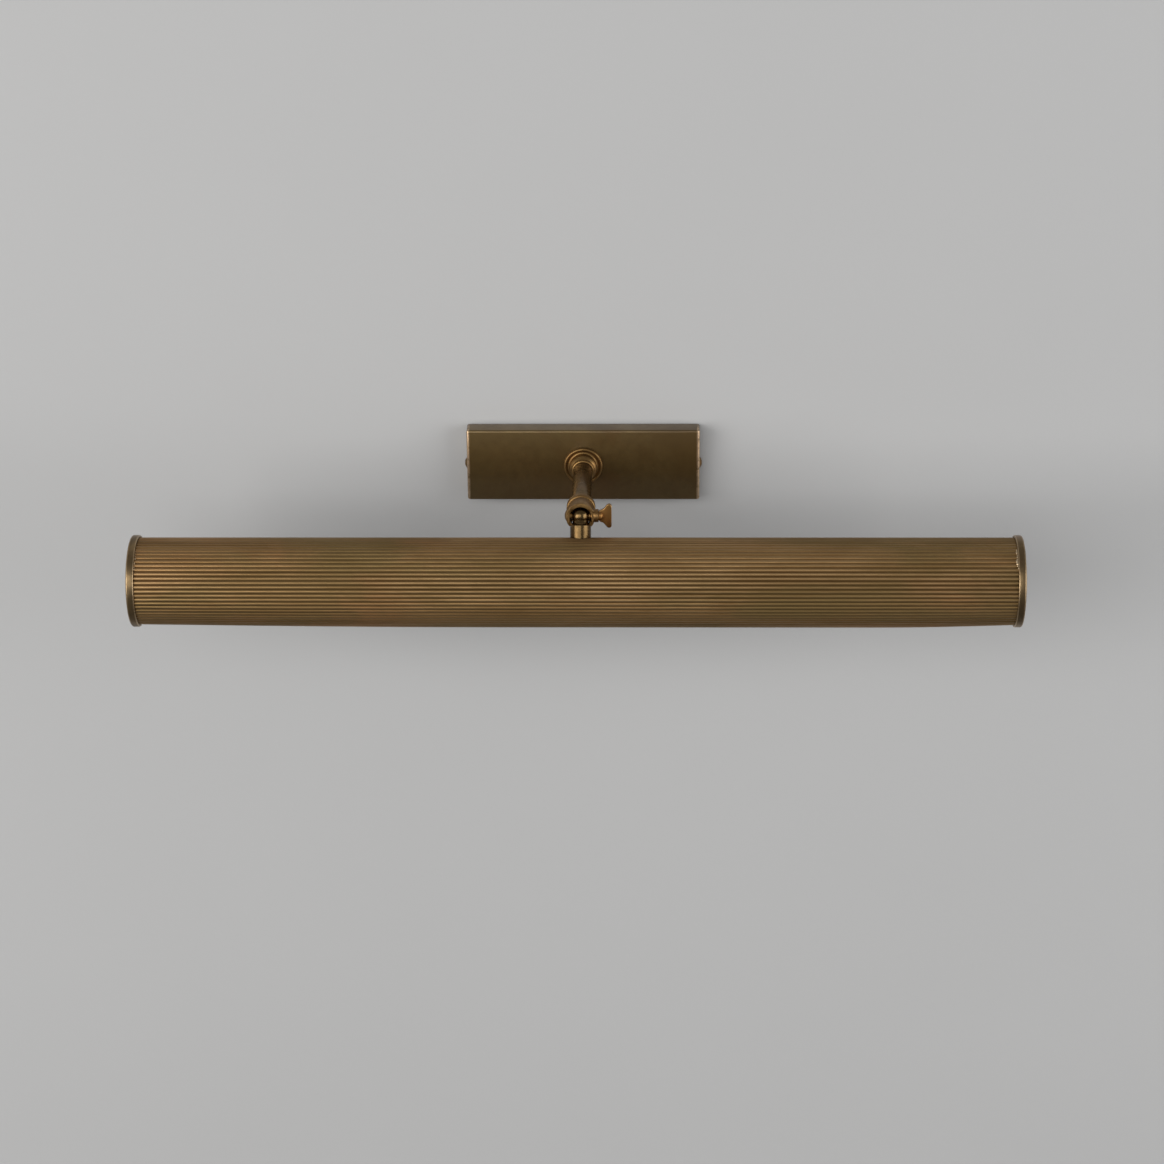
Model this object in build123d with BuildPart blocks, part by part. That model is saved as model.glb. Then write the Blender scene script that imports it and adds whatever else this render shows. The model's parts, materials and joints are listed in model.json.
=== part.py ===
from build123d import *
from math import asin, cos, radians, sin, sqrt
import os

# Picture light: a wall canopy, a straight arm, a clamped ball knuckle and a reeded brass trough shade.
# X runs along the shade, -Y points away from the wall, +Z is up.
# The origin is the centre of the face that meets the wall. All sizes are in millimetres.

# ---- driving dimensions ----
canopy_length = 150.0
canopy_height = 48.0
canopy_depth = 12.0
canopy_sheet = 1.5
canopy_corner = 1.2

bracket_sheet = 2.0
bracket_height = 24.0
bracket_gap = 0.2          # between each tab and the cover's end wall
wall_slot_spacing = 116.0
wall_slot_length = 12.0
wall_slot_width = 5.0
inlet_x = -38.0
inlet_hole_radius = 6.0
inlet_bore_radius = 3.6
side_screw_y = -6.5
m4_radius = 1.95
m4_hole_radius = 2.0

arm_radius = 6.0
arm_bore_radius = 5.0
m10_radius = 4.95
wire_bore_radius = 3.4
pivot_reach = 96.0         # wall to tilt axis
hub_length = 10.0
hub_socket_depth = 4.0
collar_radius = 9.0
collar_length = 5.9
socket_radius = 8.2
socket_bore_radius = 6.9
socket_back = 10.5         # tilt axis to the socket's back face
socket_floor = 8.0         # tilt axis to the bottom of its cavity
rim_top = 2.5              # how far the rim stands in front of the tilt axis
rim_bottom = 4.5

ball_radius = 5.4
ball_flat = 5.0
pin_hole_radius = 1.5
pin_nose_radius = 1.45
neck_radius = 4.4
stem_radius = 6.5
stem_shoulder = 5.8        # ball centre to the wider part of the stem
stem_wire_radius = 2.6
m8_radius = 3.95
m8_hole_radius = 4.0

screw_radius = 2.5
screw_hole_radius = 2.55
boss_radius = 4.1
boss_end = 11.2
wing_start = 11.5
wing_end = 19.2
wing_waist = 3.7
wing_half_height = 7.85
wing_thickness = 2.2

stem_lean = 24.0           # degrees the stem leans out from straight down
shade_distance = 40.5      # tilt axis to shade axis
shade_offset = -3.0        # the stem stands a little off the shade's middle
shade_length = 550.0
shade_radius = 27.0
shade_inner_radius = 25.85
reed_depth = 0.5
reed_shoulder = 0.12       # the crest's fall a quarter of a reed from its groove
reed_pitch = 6.0           # degrees
first_reed = -60.0         # degrees from the stem, measured over the front
reed_count = 41
cap_radius = 28.5
cap_width = 4.8
cap_sheet = 1.0
cap_lap = 0.1              # clearance between the shade and the cap around it

rail_half_length = 71.5
rail_sheet = 1.5
rail_half_width = 7.0
washer_foot = 16.1         # tilt axis to the flat side of the saddle washer
nut_height = 3.0
holder_radius = 12.6
lamp_radius = 12.5
lamp_end = 209.5
lead_radius = 0.75

os.makedirs("parts", exist_ok=True)

# ---- derived places ----
canopy_front = -canopy_depth
canopy_inside = -(canopy_depth - canopy_sheet)
cover_end_inside = canopy_length / 2 - canopy_sheet
tab_outside = cover_end_inside - bracket_gap
pivot = Vector(0, -pivot_reach, 0)
stem_up = Vector(0, sin(radians(stem_lean)), cos(radians(stem_lean)))
stem_plane = Plane(origin=pivot, x_dir=(1, 0, 0), z_dir=stem_up)
shade_centre = pivot - stem_up * shade_distance + Vector(shade_offset, 0, 0)
shade_axis = Axis(shade_centre, (1, 0, 0))
lamp_plane = Plane(origin=shade_centre, x_dir=(1, 0, 0), z_dir=(0, -1, 0))
pivot_side_plane = Plane(origin=pivot, x_dir=(1, 0, 0), z_dir=(0, -1, 0))
pivot_axis = Axis(pivot, (1, 0, 0))


def save(builder, name):
    builder.part.label = name
    export_step(builder.part, f"parts/{name}.step")


def dome_middle(base_x, base_radius, tip_x):
    """The middle point of a spherical dome's outline, from its rim to its tip on the axis."""
    height = tip_x - base_x
    radius = (base_radius**2 + height**2) / (2 * height)
    half_angle = asin(base_radius / abs(radius)) / 2
    return (tip_x - radius + radius * cos(half_angle), abs(radius) * sin(half_angle))


def stem_point(x, rear, down):
    """A point given along the shade, towards the stem's rear, and down the stem from the tilt axis."""
    return stem_plane.from_local_coords(Vector(x, rear, -down))


def lead(points, radii, section_plane):
    """One insulated wire along straight runs joined by tangent arcs."""
    with BuildPart() as wire:
        with BuildLine() as route:
            FilletPolyline(*points, radius=radii)
        with BuildSketch(section_plane):
            Circle(lead_radius)
        sweep(path=route.wire())
    return wire.part


# ==== canopy ====
with BuildPart() as canopy_cover:
    with BuildSketch(Plane.XZ):
        Rectangle(canopy_length, canopy_height)
    extrude(amount=canopy_depth)
    fillet(canopy_cover.edges().filter_by(Axis.Y), radius=canopy_corner)
    fillet(canopy_cover.faces().sort_by(Axis.Y)[0].edges(), radius=canopy_corner)
    with BuildSketch(Plane.XZ):
        Rectangle(canopy_length - 2 * canopy_sheet, canopy_height - 2 * canopy_sheet)
    extrude(amount=canopy_depth - canopy_sheet, mode=Mode.SUBTRACT)
    with BuildSketch(Plane.XZ):
        Circle(m10_radius + 0.2)
    extrude(amount=canopy_depth, mode=Mode.SUBTRACT)
    with BuildSketch(Plane.YZ):
        with Locations((side_screw_y, 0)):
            Circle(m4_hole_radius + 0.25)
    extrude(amount=canopy_length, both=True, mode=Mode.SUBTRACT)
save(canopy_cover, "canopy_cover")

with BuildPart() as wall_bracket:
    with BuildSketch(Plane.XY):
        with BuildLine():
            Polyline(
                (-tab_outside, 0),
                (tab_outside, 0),
                (tab_outside, canopy_inside + 0.3),
                (tab_outside - bracket_sheet, canopy_inside + 0.3),
                (tab_outside - bracket_sheet, -bracket_sheet),
                (-tab_outside + bracket_sheet, -bracket_sheet),
                (-tab_outside + bracket_sheet, canopy_inside + 0.3),
                (-tab_outside, canopy_inside + 0.3),
                close=True,
            )
        make_face()
    extrude(amount=bracket_height / 2, both=True)
    with BuildSketch(Plane.XZ):
        with Locations((-wall_slot_spacing / 2, 0), (wall_slot_spacing / 2, 0)):
            SlotOverall(wall_slot_length, wall_slot_width)
        with Locations((inlet_x, 0)):
            Circle(inlet_hole_radius)
    extrude(amount=bracket_sheet, mode=Mode.SUBTRACT)
    with BuildSketch(Plane.YZ):
        with Locations((side_screw_y, 0)):
            Circle(m4_hole_radius)
    extrude(amount=canopy_length, both=True, mode=Mode.SUBTRACT)
save(wall_bracket, "wall_bracket")

# slotted dome-head screws through both ends of the cover into the bracket's tabs
screw_head_radius = 3.8
screw_head_height = 1.5
with BuildPart() as cover_screws:
    with BuildSketch(Plane(origin=(0, side_screw_y, 0))):
        with BuildLine():
            Polyline(
                (canopy_length / 2 + screw_head_height, 0),
                (tab_outside - 6, 0),
                (tab_outside - 6, m4_radius),
                (canopy_length / 2, m4_radius),
                (canopy_length / 2, screw_head_radius),
            )
            ThreePointArc(
                (canopy_length / 2, screw_head_radius),
                dome_middle(canopy_length / 2, screw_head_radius, canopy_length / 2 + screw_head_height),
                (canopy_length / 2 + screw_head_height, 0),
            )
        make_face()
    revolve(axis=Axis((0, side_screw_y, 0), (1, 0, 0)))
    with Locations((canopy_length / 2 + screw_head_height, side_screw_y, 0)):
        Box(1.4, 1.0, 2 * screw_head_radius, mode=Mode.SUBTRACT)
    mirror(about=Plane.YZ)
save(cover_screws, "cover_screws")

# rubber bush that guards the mains cable where it passes the bracket
with BuildPart() as cable_grommet:
    with BuildSketch(Plane(origin=(inlet_x, 0, 0))):
        with BuildLine():
            Polyline(
                (inlet_bore_radius, 0),
                (inlet_hole_radius, 0),
                (inlet_hole_radius, -bracket_sheet),
                (8.0, -bracket_sheet),
                (7.4, -4.2),
                (inlet_bore_radius, -4.2),
                close=True,
            )
        make_face()
    revolve(axis=Axis((inlet_x, 0, 0), (0, 1, 0)))
save(cable_grommet, "cable_grommet")

block_x = -19.0
block_length = 14.0
block_height = 17.0
block_depth = 6.6
pole_pitch = 8.0
clamp_screw_x = 4.2
with BuildPart() as terminal_block:
    with BuildSketch(Plane(origin=(block_x, -bracket_sheet, 0), x_dir=(1, 0, 0), z_dir=(0, -1, 0))):
        Rectangle(block_length, block_height)
    extrude(amount=block_depth)
    fillet(terminal_block.edges().filter_by(Axis.Y), radius=0.8)
    with BuildSketch(Plane.YZ.offset(block_x)):
        with Locations((-4.0, -pole_pitch / 2 + 0.5), (-4.0, pole_pitch / 2 - 0.5)):
            Circle(1.3)
    extrude(amount=block_length, both=True, mode=Mode.SUBTRACT)
    with BuildSketch(Plane.XZ.offset(bracket_sheet + block_depth)):
        with Locations((block_x, 0)):
            with GridLocations(2 * clamp_screw_x, pole_pitch - 1, 2, 2):
                Circle(1.6)
        with Locations((block_x, 0)):
            Circle(1.3)
    extrude(amount=-3.6, mode=Mode.SUBTRACT)
    with BuildSketch(Plane.XZ.offset(bracket_sheet)):
        with Locations((block_x, 0)):
            Circle(1.1)
    extrude(amount=block_depth, mode=Mode.SUBTRACT)
save(terminal_block, "terminal_block")

with BuildPart() as terminal_screws:
    with BuildSketch(Plane.XZ.offset(bracket_sheet + block_depth - 3.4)):
        with Locations((block_x, 0)):
            with GridLocations(2 * clamp_screw_x, pole_pitch - 1, 2, 2):
                Circle(1.5)
    extrude(amount=2.8)
    with Locations((block_x, -(bracket_sheet + block_depth - 0.6), 0)):
        with GridLocations(2 * clamp_screw_x, 0, 2, 1):
            Box(0.5, 1.0, block_height, mode=Mode.SUBTRACT)
save(terminal_screws, "terminal_screws")

# green-marked protective earth screw in the bracket, with its cup washer
with BuildPart() as earth_screw:
    with BuildSketch(Plane(origin=(24, 0, 0))):
        with BuildLine():
            Polyline(
                (0, -bracket_sheet),
                (4.2, -bracket_sheet),
                (4.2, -3.0),
                (3.4, -3.2),
                (3.4, -4.6),
                (2.6, -5.4),
                (0, -5.4),
                close=True,
            )
        make_face()
    revolve(axis=Axis((24, 0, 0), (0, 1, 0)))
    with Locations((24, -5.4, 0)):
        Box(0.9, 1.4, 8, mode=Mode.SUBTRACT)
save(earth_screw, "earth_screw")

# ==== hub and arm ====
hub_front = canopy_front - hub_length
with BuildPart() as hub_collar:
    with BuildSketch(Plane.XY):
        with BuildLine():
            Polyline((m10_radius + 0.15, canopy_front), (12.0, canopy_front))
            ThreePointArc((12.0, canopy_front), (12.5, canopy_front - 1.25), (12.0, canopy_front - 2.5))
            Polyline(
                (12.0, canopy_front - 2.5),
                (9.6, canopy_front - 2.7),
                (8.0, canopy_front - 3.1),
                (8.0, canopy_front - 4.2),
            )
            ThreePointArc(
                (8.0, canopy_front - 4.2),
                (9.0, canopy_front - 6.0),
                (7.7, canopy_front - 8.2),
            )
            Polyline(
                (7.7, canopy_front - 8.2),
                (7.0, hub_front),
                (arm_radius + 0.05, hub_front),
                (arm_radius + 0.05, hub_front + hub_socket_depth),
                (m10_radius + 0.15, hub_front + hub_socket_depth),
                (m10_radius + 0.15, canopy_front),
            )
        make_face()
    revolve(axis=Axis.Y)
save(hub_collar, "hub_collar")

nipple_back = -5.5
with BuildPart() as arm_nipple:
    with BuildSketch(Plane.XZ.offset(-nipple_back)):
        Circle(m10_radius)
        Circle(wire_bore_radius, mode=Mode.SUBTRACT)
    extrude(amount=20.0)
save(arm_nipple, "arm_nipple")

hub_washer_sheet = 1.0
with BuildPart() as hub_washer:
    with BuildSketch(Plane.XZ.offset(-canopy_inside)):
        Circle(9.0)
        Circle(m10_radius + 0.05, mode=Mode.SUBTRACT)
    extrude(amount=-hub_washer_sheet)
save(hub_washer, "hub_washer")

with BuildPart() as hub_lock_nut:
    with BuildSketch(Plane.XZ.offset(-canopy_inside - hub_washer_sheet)):
        RegularPolygon(radius=7.0, side_count=6, major_radius=False)
        Circle(m10_radius + 0.05, mode=Mode.SUBTRACT)
    extrude(amount=-nut_height)
save(hub_lock_nut, "hub_lock_nut")

arm_start = hub_front + hub_socket_depth
arm_end = -(pivot_reach - socket_back)
with BuildPart() as arm_tube:
    with BuildSketch(Plane.XZ.offset(-arm_start)):
        Circle(arm_radius)
        Circle(arm_bore_radius, mode=Mode.SUBTRACT)
    extrude(amount=arm_start - arm_end)
save(arm_tube, "arm_tube")

with BuildPart() as arm_end_collar:
    with BuildSketch(Plane.XY):
        with BuildLine():
            FilletPolyline(
                (arm_radius + 0.05, arm_end),
                (collar_radius, arm_end),
                (collar_radius, arm_end + collar_length - 1.4),
                (collar_radius - 1.4, arm_end + collar_length),
                (arm_radius + 0.05, arm_end + collar_length),
                radius=(0.5, 0.5, 0.5),
            )
            Line((arm_radius + 0.05, arm_end + collar_length), (arm_radius + 0.05, arm_end))
        make_face()
    revolve(axis=Axis.Y)
save(arm_end_collar, "arm_end_collar")

# ==== knuckle ====
spigot_length = 7.5
boss_spigot_radius = 3.2
with BuildPart() as knuckle_socket:
    # turned cup with a threaded spigot that screws into the arm
    with BuildSketch(Plane.XY):
        with BuildLine():
            Polyline(
                (wire_bore_radius, arm_end + spigot_length),
                (m10_radius, arm_end + spigot_length),
                (m10_radius, arm_end),
                (socket_radius - 0.5, arm_end),
                (socket_radius, arm_end - 0.5),
                (socket_radius, -pivot_reach - 6),
                (socket_bore_radius, -pivot_reach - 6),
                (socket_bore_radius, -pivot_reach + socket_floor - 1),
                (socket_bore_radius - 1, -pivot_reach + socket_floor),
                (wire_bore_radius, -pivot_reach + socket_floor),
                close=True,
            )
        make_face()
    revolve(axis=Axis.Y)
    # the rim is cut on a slant, longer at the bottom
    with BuildSketch(Plane.YZ):
        with BuildLine():
            Polyline(
                (-pivot_reach - rim_top, socket_radius + 0.1),
                (-pivot_reach - rim_bottom, -socket_radius - 0.1),
                (-pivot_reach - 8, -socket_radius - 0.1),
                (-pivot_reach - 8, socket_radius + 0.1),
                close=True,
            )
        make_face()
    extrude(amount=2 * socket_radius, both=True, mode=Mode.SUBTRACT)
    # slot through the floor of the cup, which the stem swings in
    with BuildSketch(Plane.XY.offset(-socket_radius - 0.5)):
        with BuildLine():
            Polyline(
                (-socket_bore_radius, -pivot_reach - 8),
                (socket_bore_radius, -pivot_reach - 8),
                (socket_bore_radius, -pivot_reach + 4),
                (socket_bore_radius - 3.5, -pivot_reach + 7.5),
                (-socket_bore_radius + 3.5, -pivot_reach + 7.5),
                (-socket_bore_radius, -pivot_reach + 4),
                close=True,
            )
        make_face()
    extrude(amount=socket_radius + 0.5, mode=Mode.SUBTRACT)
    # cross holes for the pivot pin and for the clamp boss
    with BuildSketch(Plane.YZ):
        with Locations((-pivot_reach, 0)):
            Circle(2.05)
    extrude(amount=-2 * socket_radius, mode=Mode.SUBTRACT)
    with BuildSketch(Plane.YZ):
        with Locations((-pivot_reach, 0)):
            Circle(boss_spigot_radius)
    extrude(amount=2 * socket_radius, mode=Mode.SUBTRACT)
save(knuckle_socket, "knuckle_socket")

with BuildPart() as clamp_boss:
    with BuildSketch(Plane.YZ.offset(socket_bore_radius)):
        with Locations((-pivot_reach, 0)):
            Circle(boss_radius)
    extrude(amount=boss_end - socket_bore_radius)
    fillet(clamp_boss.faces().sort_by(Axis.X)[-1].edges(), radius=0.5)
    # saddle cut that seats on the cup
    with BuildSketch(Plane.XZ.offset(pivot_reach - 12)):
        Circle(socket_radius)
    extrude(amount=24, mode=Mode.SUBTRACT)
    with BuildSketch(Plane.YZ.offset(socket_bore_radius)):
        with Locations((-pivot_reach, 0)):
            Circle(boss_spigot_radius)
    extrude(amount=2.0)
    with BuildSketch(Plane.YZ):
        with Locations((-pivot_reach, 0)):
            Circle(screw_hole_radius)
    extrude(amount=2 * boss_end, mode=Mode.SUBTRACT)
save(clamp_boss, "clamp_boss")

pin_shoulder = 5.3
pin_tip = 3.5
with BuildPart() as pivot_pin:
    with BuildSketch(pivot_side_plane):
        with BuildLine():
            Polyline(
                (-9.9, 0),
                (-pin_tip, 0),
                (-pin_tip, pin_nose_radius),
                (-pin_shoulder, pin_nose_radius),
                (-pin_shoulder, 2.0),
                (-socket_radius, 2.0),
                (-socket_radius, 4.0),
            )
            ThreePointArc((-socket_radius, 4.0), dome_middle(-socket_radius, 4.0, -9.9), (-9.9, 0))
        make_face()
    revolve(axis=pivot_axis)
save(pivot_pin, "pivot_pin")

plug_face = 5.1
plug_back = 6.25
with BuildPart() as friction_plug:
    with BuildSketch(pivot_side_plane):
        with BuildLine():
            Polyline(
                (pin_tip, 0),
                (pin_tip, pin_nose_radius),
                (plug_face, pin_nose_radius),
                (plug_face, 2.2),
                (plug_back, 2.2),
                (plug_back, 0),
                close=True,
            )
        make_face()
    revolve(axis=pivot_axis)
save(friction_plug, "friction_plug")

with BuildPart() as wing_screw:
    with BuildSketch(pivot_side_plane):
        with BuildLine():
            Polyline(
                (plug_back + 0.05, 0),
                (plug_back + 0.05, screw_radius - 0.4),
                (plug_back + 0.45, screw_radius),
                (boss_end + 0.1, screw_radius),
                (boss_end + 0.1, 3.1),
                (boss_end + 1.6, 3.1),
                (boss_end + 2.6, 0),
                close=True,
            )
        make_face()
    revolve(axis=pivot_axis)
    with BuildSketch(pivot_side_plane):
        with BuildLine():
            for half in (1, -1):
                Line((wing_start, 0), (wing_start, half * wing_waist))
                ThreePointArc(
                    (wing_start, half * wing_waist),
                    (wing_start + 3.1, half * (wing_waist + 0.75)),
                    (wing_end - 2.1, half * (wing_half_height - 0.35)),
                )
                ThreePointArc(
                    (wing_end - 2.1, half * (wing_half_height - 0.35)),
                    (wing_end - 0.7, half * (wing_half_height - 0.1)),
                    (wing_end, half * (wing_half_height - 1.3)),
                )
                Line((wing_end, half * (wing_half_height - 1.3)), (wing_end, 0))
        make_face()
    extrude(amount=wing_thickness / 2, both=True)
save(wing_screw, "wing_screw")

slot_half_width = 1.3
slot_reach_past_centre = 2.2
stem_foot = 14.5
m8_depth = 6.0
with BuildPart() as ball_stud:
    with BuildSketch(Plane(origin=pivot, x_dir=(1, 0, 0), z_dir=stem_plane.y_dir)):
        # half outline of ball, neck and stem; local y runs down the stem
        with BuildLine():
            neck_down = sqrt(ball_radius**2 - neck_radius**2)
            ThreePointArc((0, -ball_radius), (ball_radius, 0), (neck_radius, neck_down))
            FilletPolyline(
                (neck_radius, neck_down),
                (neck_radius, stem_shoulder),
                (stem_radius, stem_shoulder),
                (stem_radius, stem_foot),
                radius=(0.4, 0.6),
            )
            Polyline((stem_radius, stem_foot), (0, stem_foot), (0, -ball_radius))
        make_face()
    revolve(axis=Axis(pivot, -stem_up))
    # flats beside the pivot pins
    with BuildSketch(Plane.YZ.offset(ball_flat)):
        with Locations((-pivot_reach, 0)):
            Circle(ball_radius)
    extrude(amount=0.8, mode=Mode.SUBTRACT)
    with BuildSketch(Plane.YZ.offset(-ball_flat)):
        with Locations((-pivot_reach, 0)):
            Circle(ball_radius)
    extrude(amount=-0.8, mode=Mode.SUBTRACT)
    with BuildSketch(Plane.YZ):
        with Locations((-pivot_reach, 0)):
            Circle(pin_hole_radius)
    extrude(amount=ball_radius, both=True, mode=Mode.SUBTRACT)
    # wire way: up the stem, then out through a slot that stays open over the whole tilt
    with BuildSketch(stem_plane.offset(-stem_foot)):
        Circle(stem_wire_radius)
    extrude(amount=stem_foot, mode=Mode.SUBTRACT)
    with BuildSketch(stem_plane.offset(-slot_reach_past_centre)):
        with Locations((0, (ball_radius - slot_reach_past_centre) / 2 + 0.5)):
            Rectangle(2 * slot_half_width, ball_radius + slot_reach_past_centre + 1)
    extrude(amount=ball_radius + slot_reach_past_centre + 1, mode=Mode.SUBTRACT)
    # threaded seat for the shade's nipple, and the saddle foot that fits the shade
    with BuildSketch(stem_plane.offset(-stem_foot)):
        Circle(m8_hole_radius)
    extrude(amount=m8_depth, mode=Mode.SUBTRACT)
    with BuildSketch(Plane(origin=shade_centre, x_dir=(0, 1, 0), z_dir=(1, 0, 0))):
        Circle(shade_radius + 0.02)
    extrude(amount=3 * stem_radius, both=True, mode=Mode.SUBTRACT)
save(ball_stud, "ball_stud")

# ==== shade ====
rail_foot = washer_foot + rail_sheet
nut_foot = rail_foot + nut_height
nipple_top = stem_foot - m8_depth + 0.4
nipple_foot = nut_foot + 1.2

with BuildPart() as shade_nipple:
    with BuildSketch(stem_plane.offset(-nipple_foot)):
        Circle(m8_radius)
        Circle(stem_wire_radius + 0.1, mode=Mode.SUBTRACT)
    extrude(amount=nipple_foot - nipple_top)
save(shade_nipple, "shade_nipple")

with BuildPart() as saddle_washer:
    with BuildSketch(stem_plane.offset(-washer_foot)):
        Circle(7.0)
        Circle(m8_radius + 0.1, mode=Mode.SUBTRACT)
    extrude(amount=washer_foot - stem_shoulder)
    with BuildSketch(Plane(origin=shade_centre, x_dir=(0, 1, 0), z_dir=(1, 0, 0))):
        Circle(shade_inner_radius * cos(radians(reed_pitch / 2)))
    extrude(amount=12, both=True, mode=Mode.INTERSECT)
save(saddle_washer, "saddle_washer")

with BuildPart() as shade_lock_nut:
    with BuildSketch(stem_plane.offset(-nut_foot)):
        RegularPolygon(radius=6.5, side_count=6, major_radius=False)
        Circle(m8_radius + 0.05, mode=Mode.SUBTRACT)
    extrude(amount=nut_height)
save(shade_lock_nut, "shade_lock_nut")

# end plane of the shade: local x points from the stem side, local y over the front
shade_inner_length = shade_length - 2 * cap_sheet
shade_section = Plane(
    origin=shade_centre - Vector(shade_inner_length / 2, 0, 0),
    x_dir=stem_up,
    z_dir=(1, 0, 0),
)


def around(radius, angle):
    """A point of the shade's section; the angle is counted from the stem over the front."""
    return (radius * cos(radians(angle)), radius * sin(radians(angle)))


last_reed = first_reed + reed_count * reed_pitch
with BuildPart() as shade:
    with BuildSketch(shade_section):
        with BuildLine():
            # each reed is rolled as four narrow flats, and the inside is flat behind each reed
            outside = []
            inside = []
            for reed in range(reed_count):
                start = first_reed + reed * reed_pitch
                outside.append(around(shade_radius - reed_depth, start))
                outside.append(around(shade_radius - reed_shoulder, start + reed_pitch / 4))
                outside.append(around(shade_radius, start + reed_pitch / 2))
                outside.append(around(shade_radius - reed_shoulder, start + reed_pitch * 3 / 4))
                inside.append(around(shade_inner_radius, start))
            outside.append(around(shade_radius - reed_depth, last_reed))
            inside.append(around(shade_inner_radius, last_reed))
            Polyline(*outside, *reversed(inside), close=True)
        make_face()
    extrude(amount=shade_inner_length)
    with BuildSketch(stem_plane.offset(-nut_foot)):
        Circle(m8_radius + 0.1)
    extrude(amount=nut_foot, mode=Mode.SUBTRACT)
save(shade, "shade")

# caps: shallow cups over the shade's ends, closed straight across the light's mouth
mouth_angle = (first_reed + last_reed) / 2 + 180
lip_distance = shade_radius * cos(radians(mouth_angle - last_reed))
mouth_direction = stem_up * cos(radians(mouth_angle)) + stem_plane.y_dir * -sin(radians(mouth_angle))


def end_cap(side):
    outer_face = shade_centre + Vector(side * shade_length / 2, 0, 0)
    cap_plane = Plane(origin=outer_face, x_dir=mouth_direction, z_dir=(-side, 0, 0))
    with BuildPart() as cap:
        with BuildSketch(cap_plane):
            Circle(cap_radius)
            with Locations((lip_distance + 1.6 - cap_radius, 0)):
                Rectangle(2 * cap_radius, 2 * cap_radius + 1, mode=Mode.INTERSECT)
        extrude(amount=cap_width)
        cap_faces = cap.faces().sort_by(Axis.X)
        fillet(cap_faces[0].edges() + cap_faces[-1].edges(), radius=0.6)
        pocket_radius = shade_radius + cap_lap
        with BuildSketch(cap_plane.offset(cap_sheet)):
            Circle(pocket_radius)
            with Locations((lip_distance + 0.2 - pocket_radius, 0)):
                Rectangle(2 * pocket_radius, 2 * pocket_radius + 1, mode=Mode.INTERSECT)
        extrude(amount=cap_width, mode=Mode.SUBTRACT)
    return cap


save(end_cap(-1), "end_cap_left")
save(end_cap(1), "end_cap_right")

# ==== lamp carrier and lamps ====
tab_foot = shade_distance + 9.0
with BuildPart() as lamp_rail:
    # bent strip clamped under the saddle washer; both ends turn down to carry a lampholder
    with BuildSketch(Plane(origin=pivot, x_dir=(1, 0, 0), z_dir=stem_plane.y_dir)):
        with BuildLine():
            left = shade_offset - rail_half_length
            right = shade_offset + rail_half_length
            FilletPolyline(
                (left, tab_foot),
                (left, washer_foot),
                (right, washer_foot),
                (right, tab_foot),
                radius=2.5,
            )
            Line((right, tab_foot), (right - rail_sheet, tab_foot))
            FilletPolyline(
                (right - rail_sheet, tab_foot),
                (right - rail_sheet, rail_foot),
                (left + rail_sheet, rail_foot),
                (left + rail_sheet, tab_foot),
                radius=1.0,
            )
            Line((left + rail_sheet, tab_foot), (left, tab_foot))
        make_face()
    extrude(amount=rail_half_width, both=True)
    with BuildSketch(stem_plane.offset(-rail_foot - 1)):
        Circle(m8_radius + 0.1)
    extrude(amount=4, mode=Mode.SUBTRACT)
    with BuildSketch(Plane(origin=shade_centre, x_dir=(0, 1, 0), z_dir=(1, 0, 0))):
        Circle(m10_radius + 0.1)
    extrude(amount=rail_half_length + 1, both=True, mode=Mode.SUBTRACT)
save(lamp_rail, "lamp_rail")

holder_back = rail_half_length - 6.5
holder_floor = 87.5
holder_mouth = 111.0


def turned(name, outline):
    """One turned piece for each side, from an outline of (distance from the middle, radius) points."""
    for side_name, side in (("left", -1), ("right", 1)):
        with BuildPart() as piece:
            with BuildSketch(lamp_plane):
                with BuildLine():
                    Polyline(*[(side * x, r) for x, r in outline], close=True)
                make_face()
            revolve(axis=shade_axis)
        save(piece, f"{name}_{side_name}")


turned("lampholder", [
    (holder_back, 3.2),
    (holder_back, m10_radius),
    (rail_half_length, m10_radius),
    (rail_half_length, holder_radius - 1),
    (rail_half_length + 1.5, holder_radius),
    (88.0, holder_radius),
    (89.5, holder_radius - 0.6),
    (holder_mouth, holder_radius - 0.6),
    (holder_mouth, 9.3),
    (holder_floor, 9.3),
    (holder_floor, 3.2),
])
turned("lampholder_shell", [
    (holder_floor, 7.3),
    (holder_floor, 9.2),
    (holder_floor + 0.8, 9.2),
    (holder_floor + 0.8, 7.9),
    (107.0, 7.9),
    (107.0, 7.3),
])
turned("centre_contact", [
    (holder_floor, 0.0),
    (holder_floor, 5.0),
    (88.2, 5.0),
    (89.2, 2.2),
    (89.8, 0.0),
])
turned("lamp_cap", [
    (90.0, 0.0),
    (90.0, 2.4),
    (91.4, 2.4),
    (93.2, 5.6),
    (93.2, 6.9),
    (112.5, 6.9),
    (114.0, 8.2),
    (116.0, 8.2),
    (116.0, 0.0),
])

for side_name, side in (("left", -1), ("right", 1)):
    with BuildPart() as holder_nut:
        tab_face = shade_centre + Vector(side * (rail_half_length - rail_sheet), 0, 0)
        with BuildSketch(Plane(origin=tab_face, x_dir=(0, 1, 0), z_dir=(-side, 0, 0))):
            RegularPolygon(radius=7.0, side_count=6, major_radius=False)
            Circle(m10_radius + 0.05, mode=Mode.SUBTRACT)
        extrude(amount=nut_height)
    save(holder_nut, f"holder_nut_{side_name}")

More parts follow.
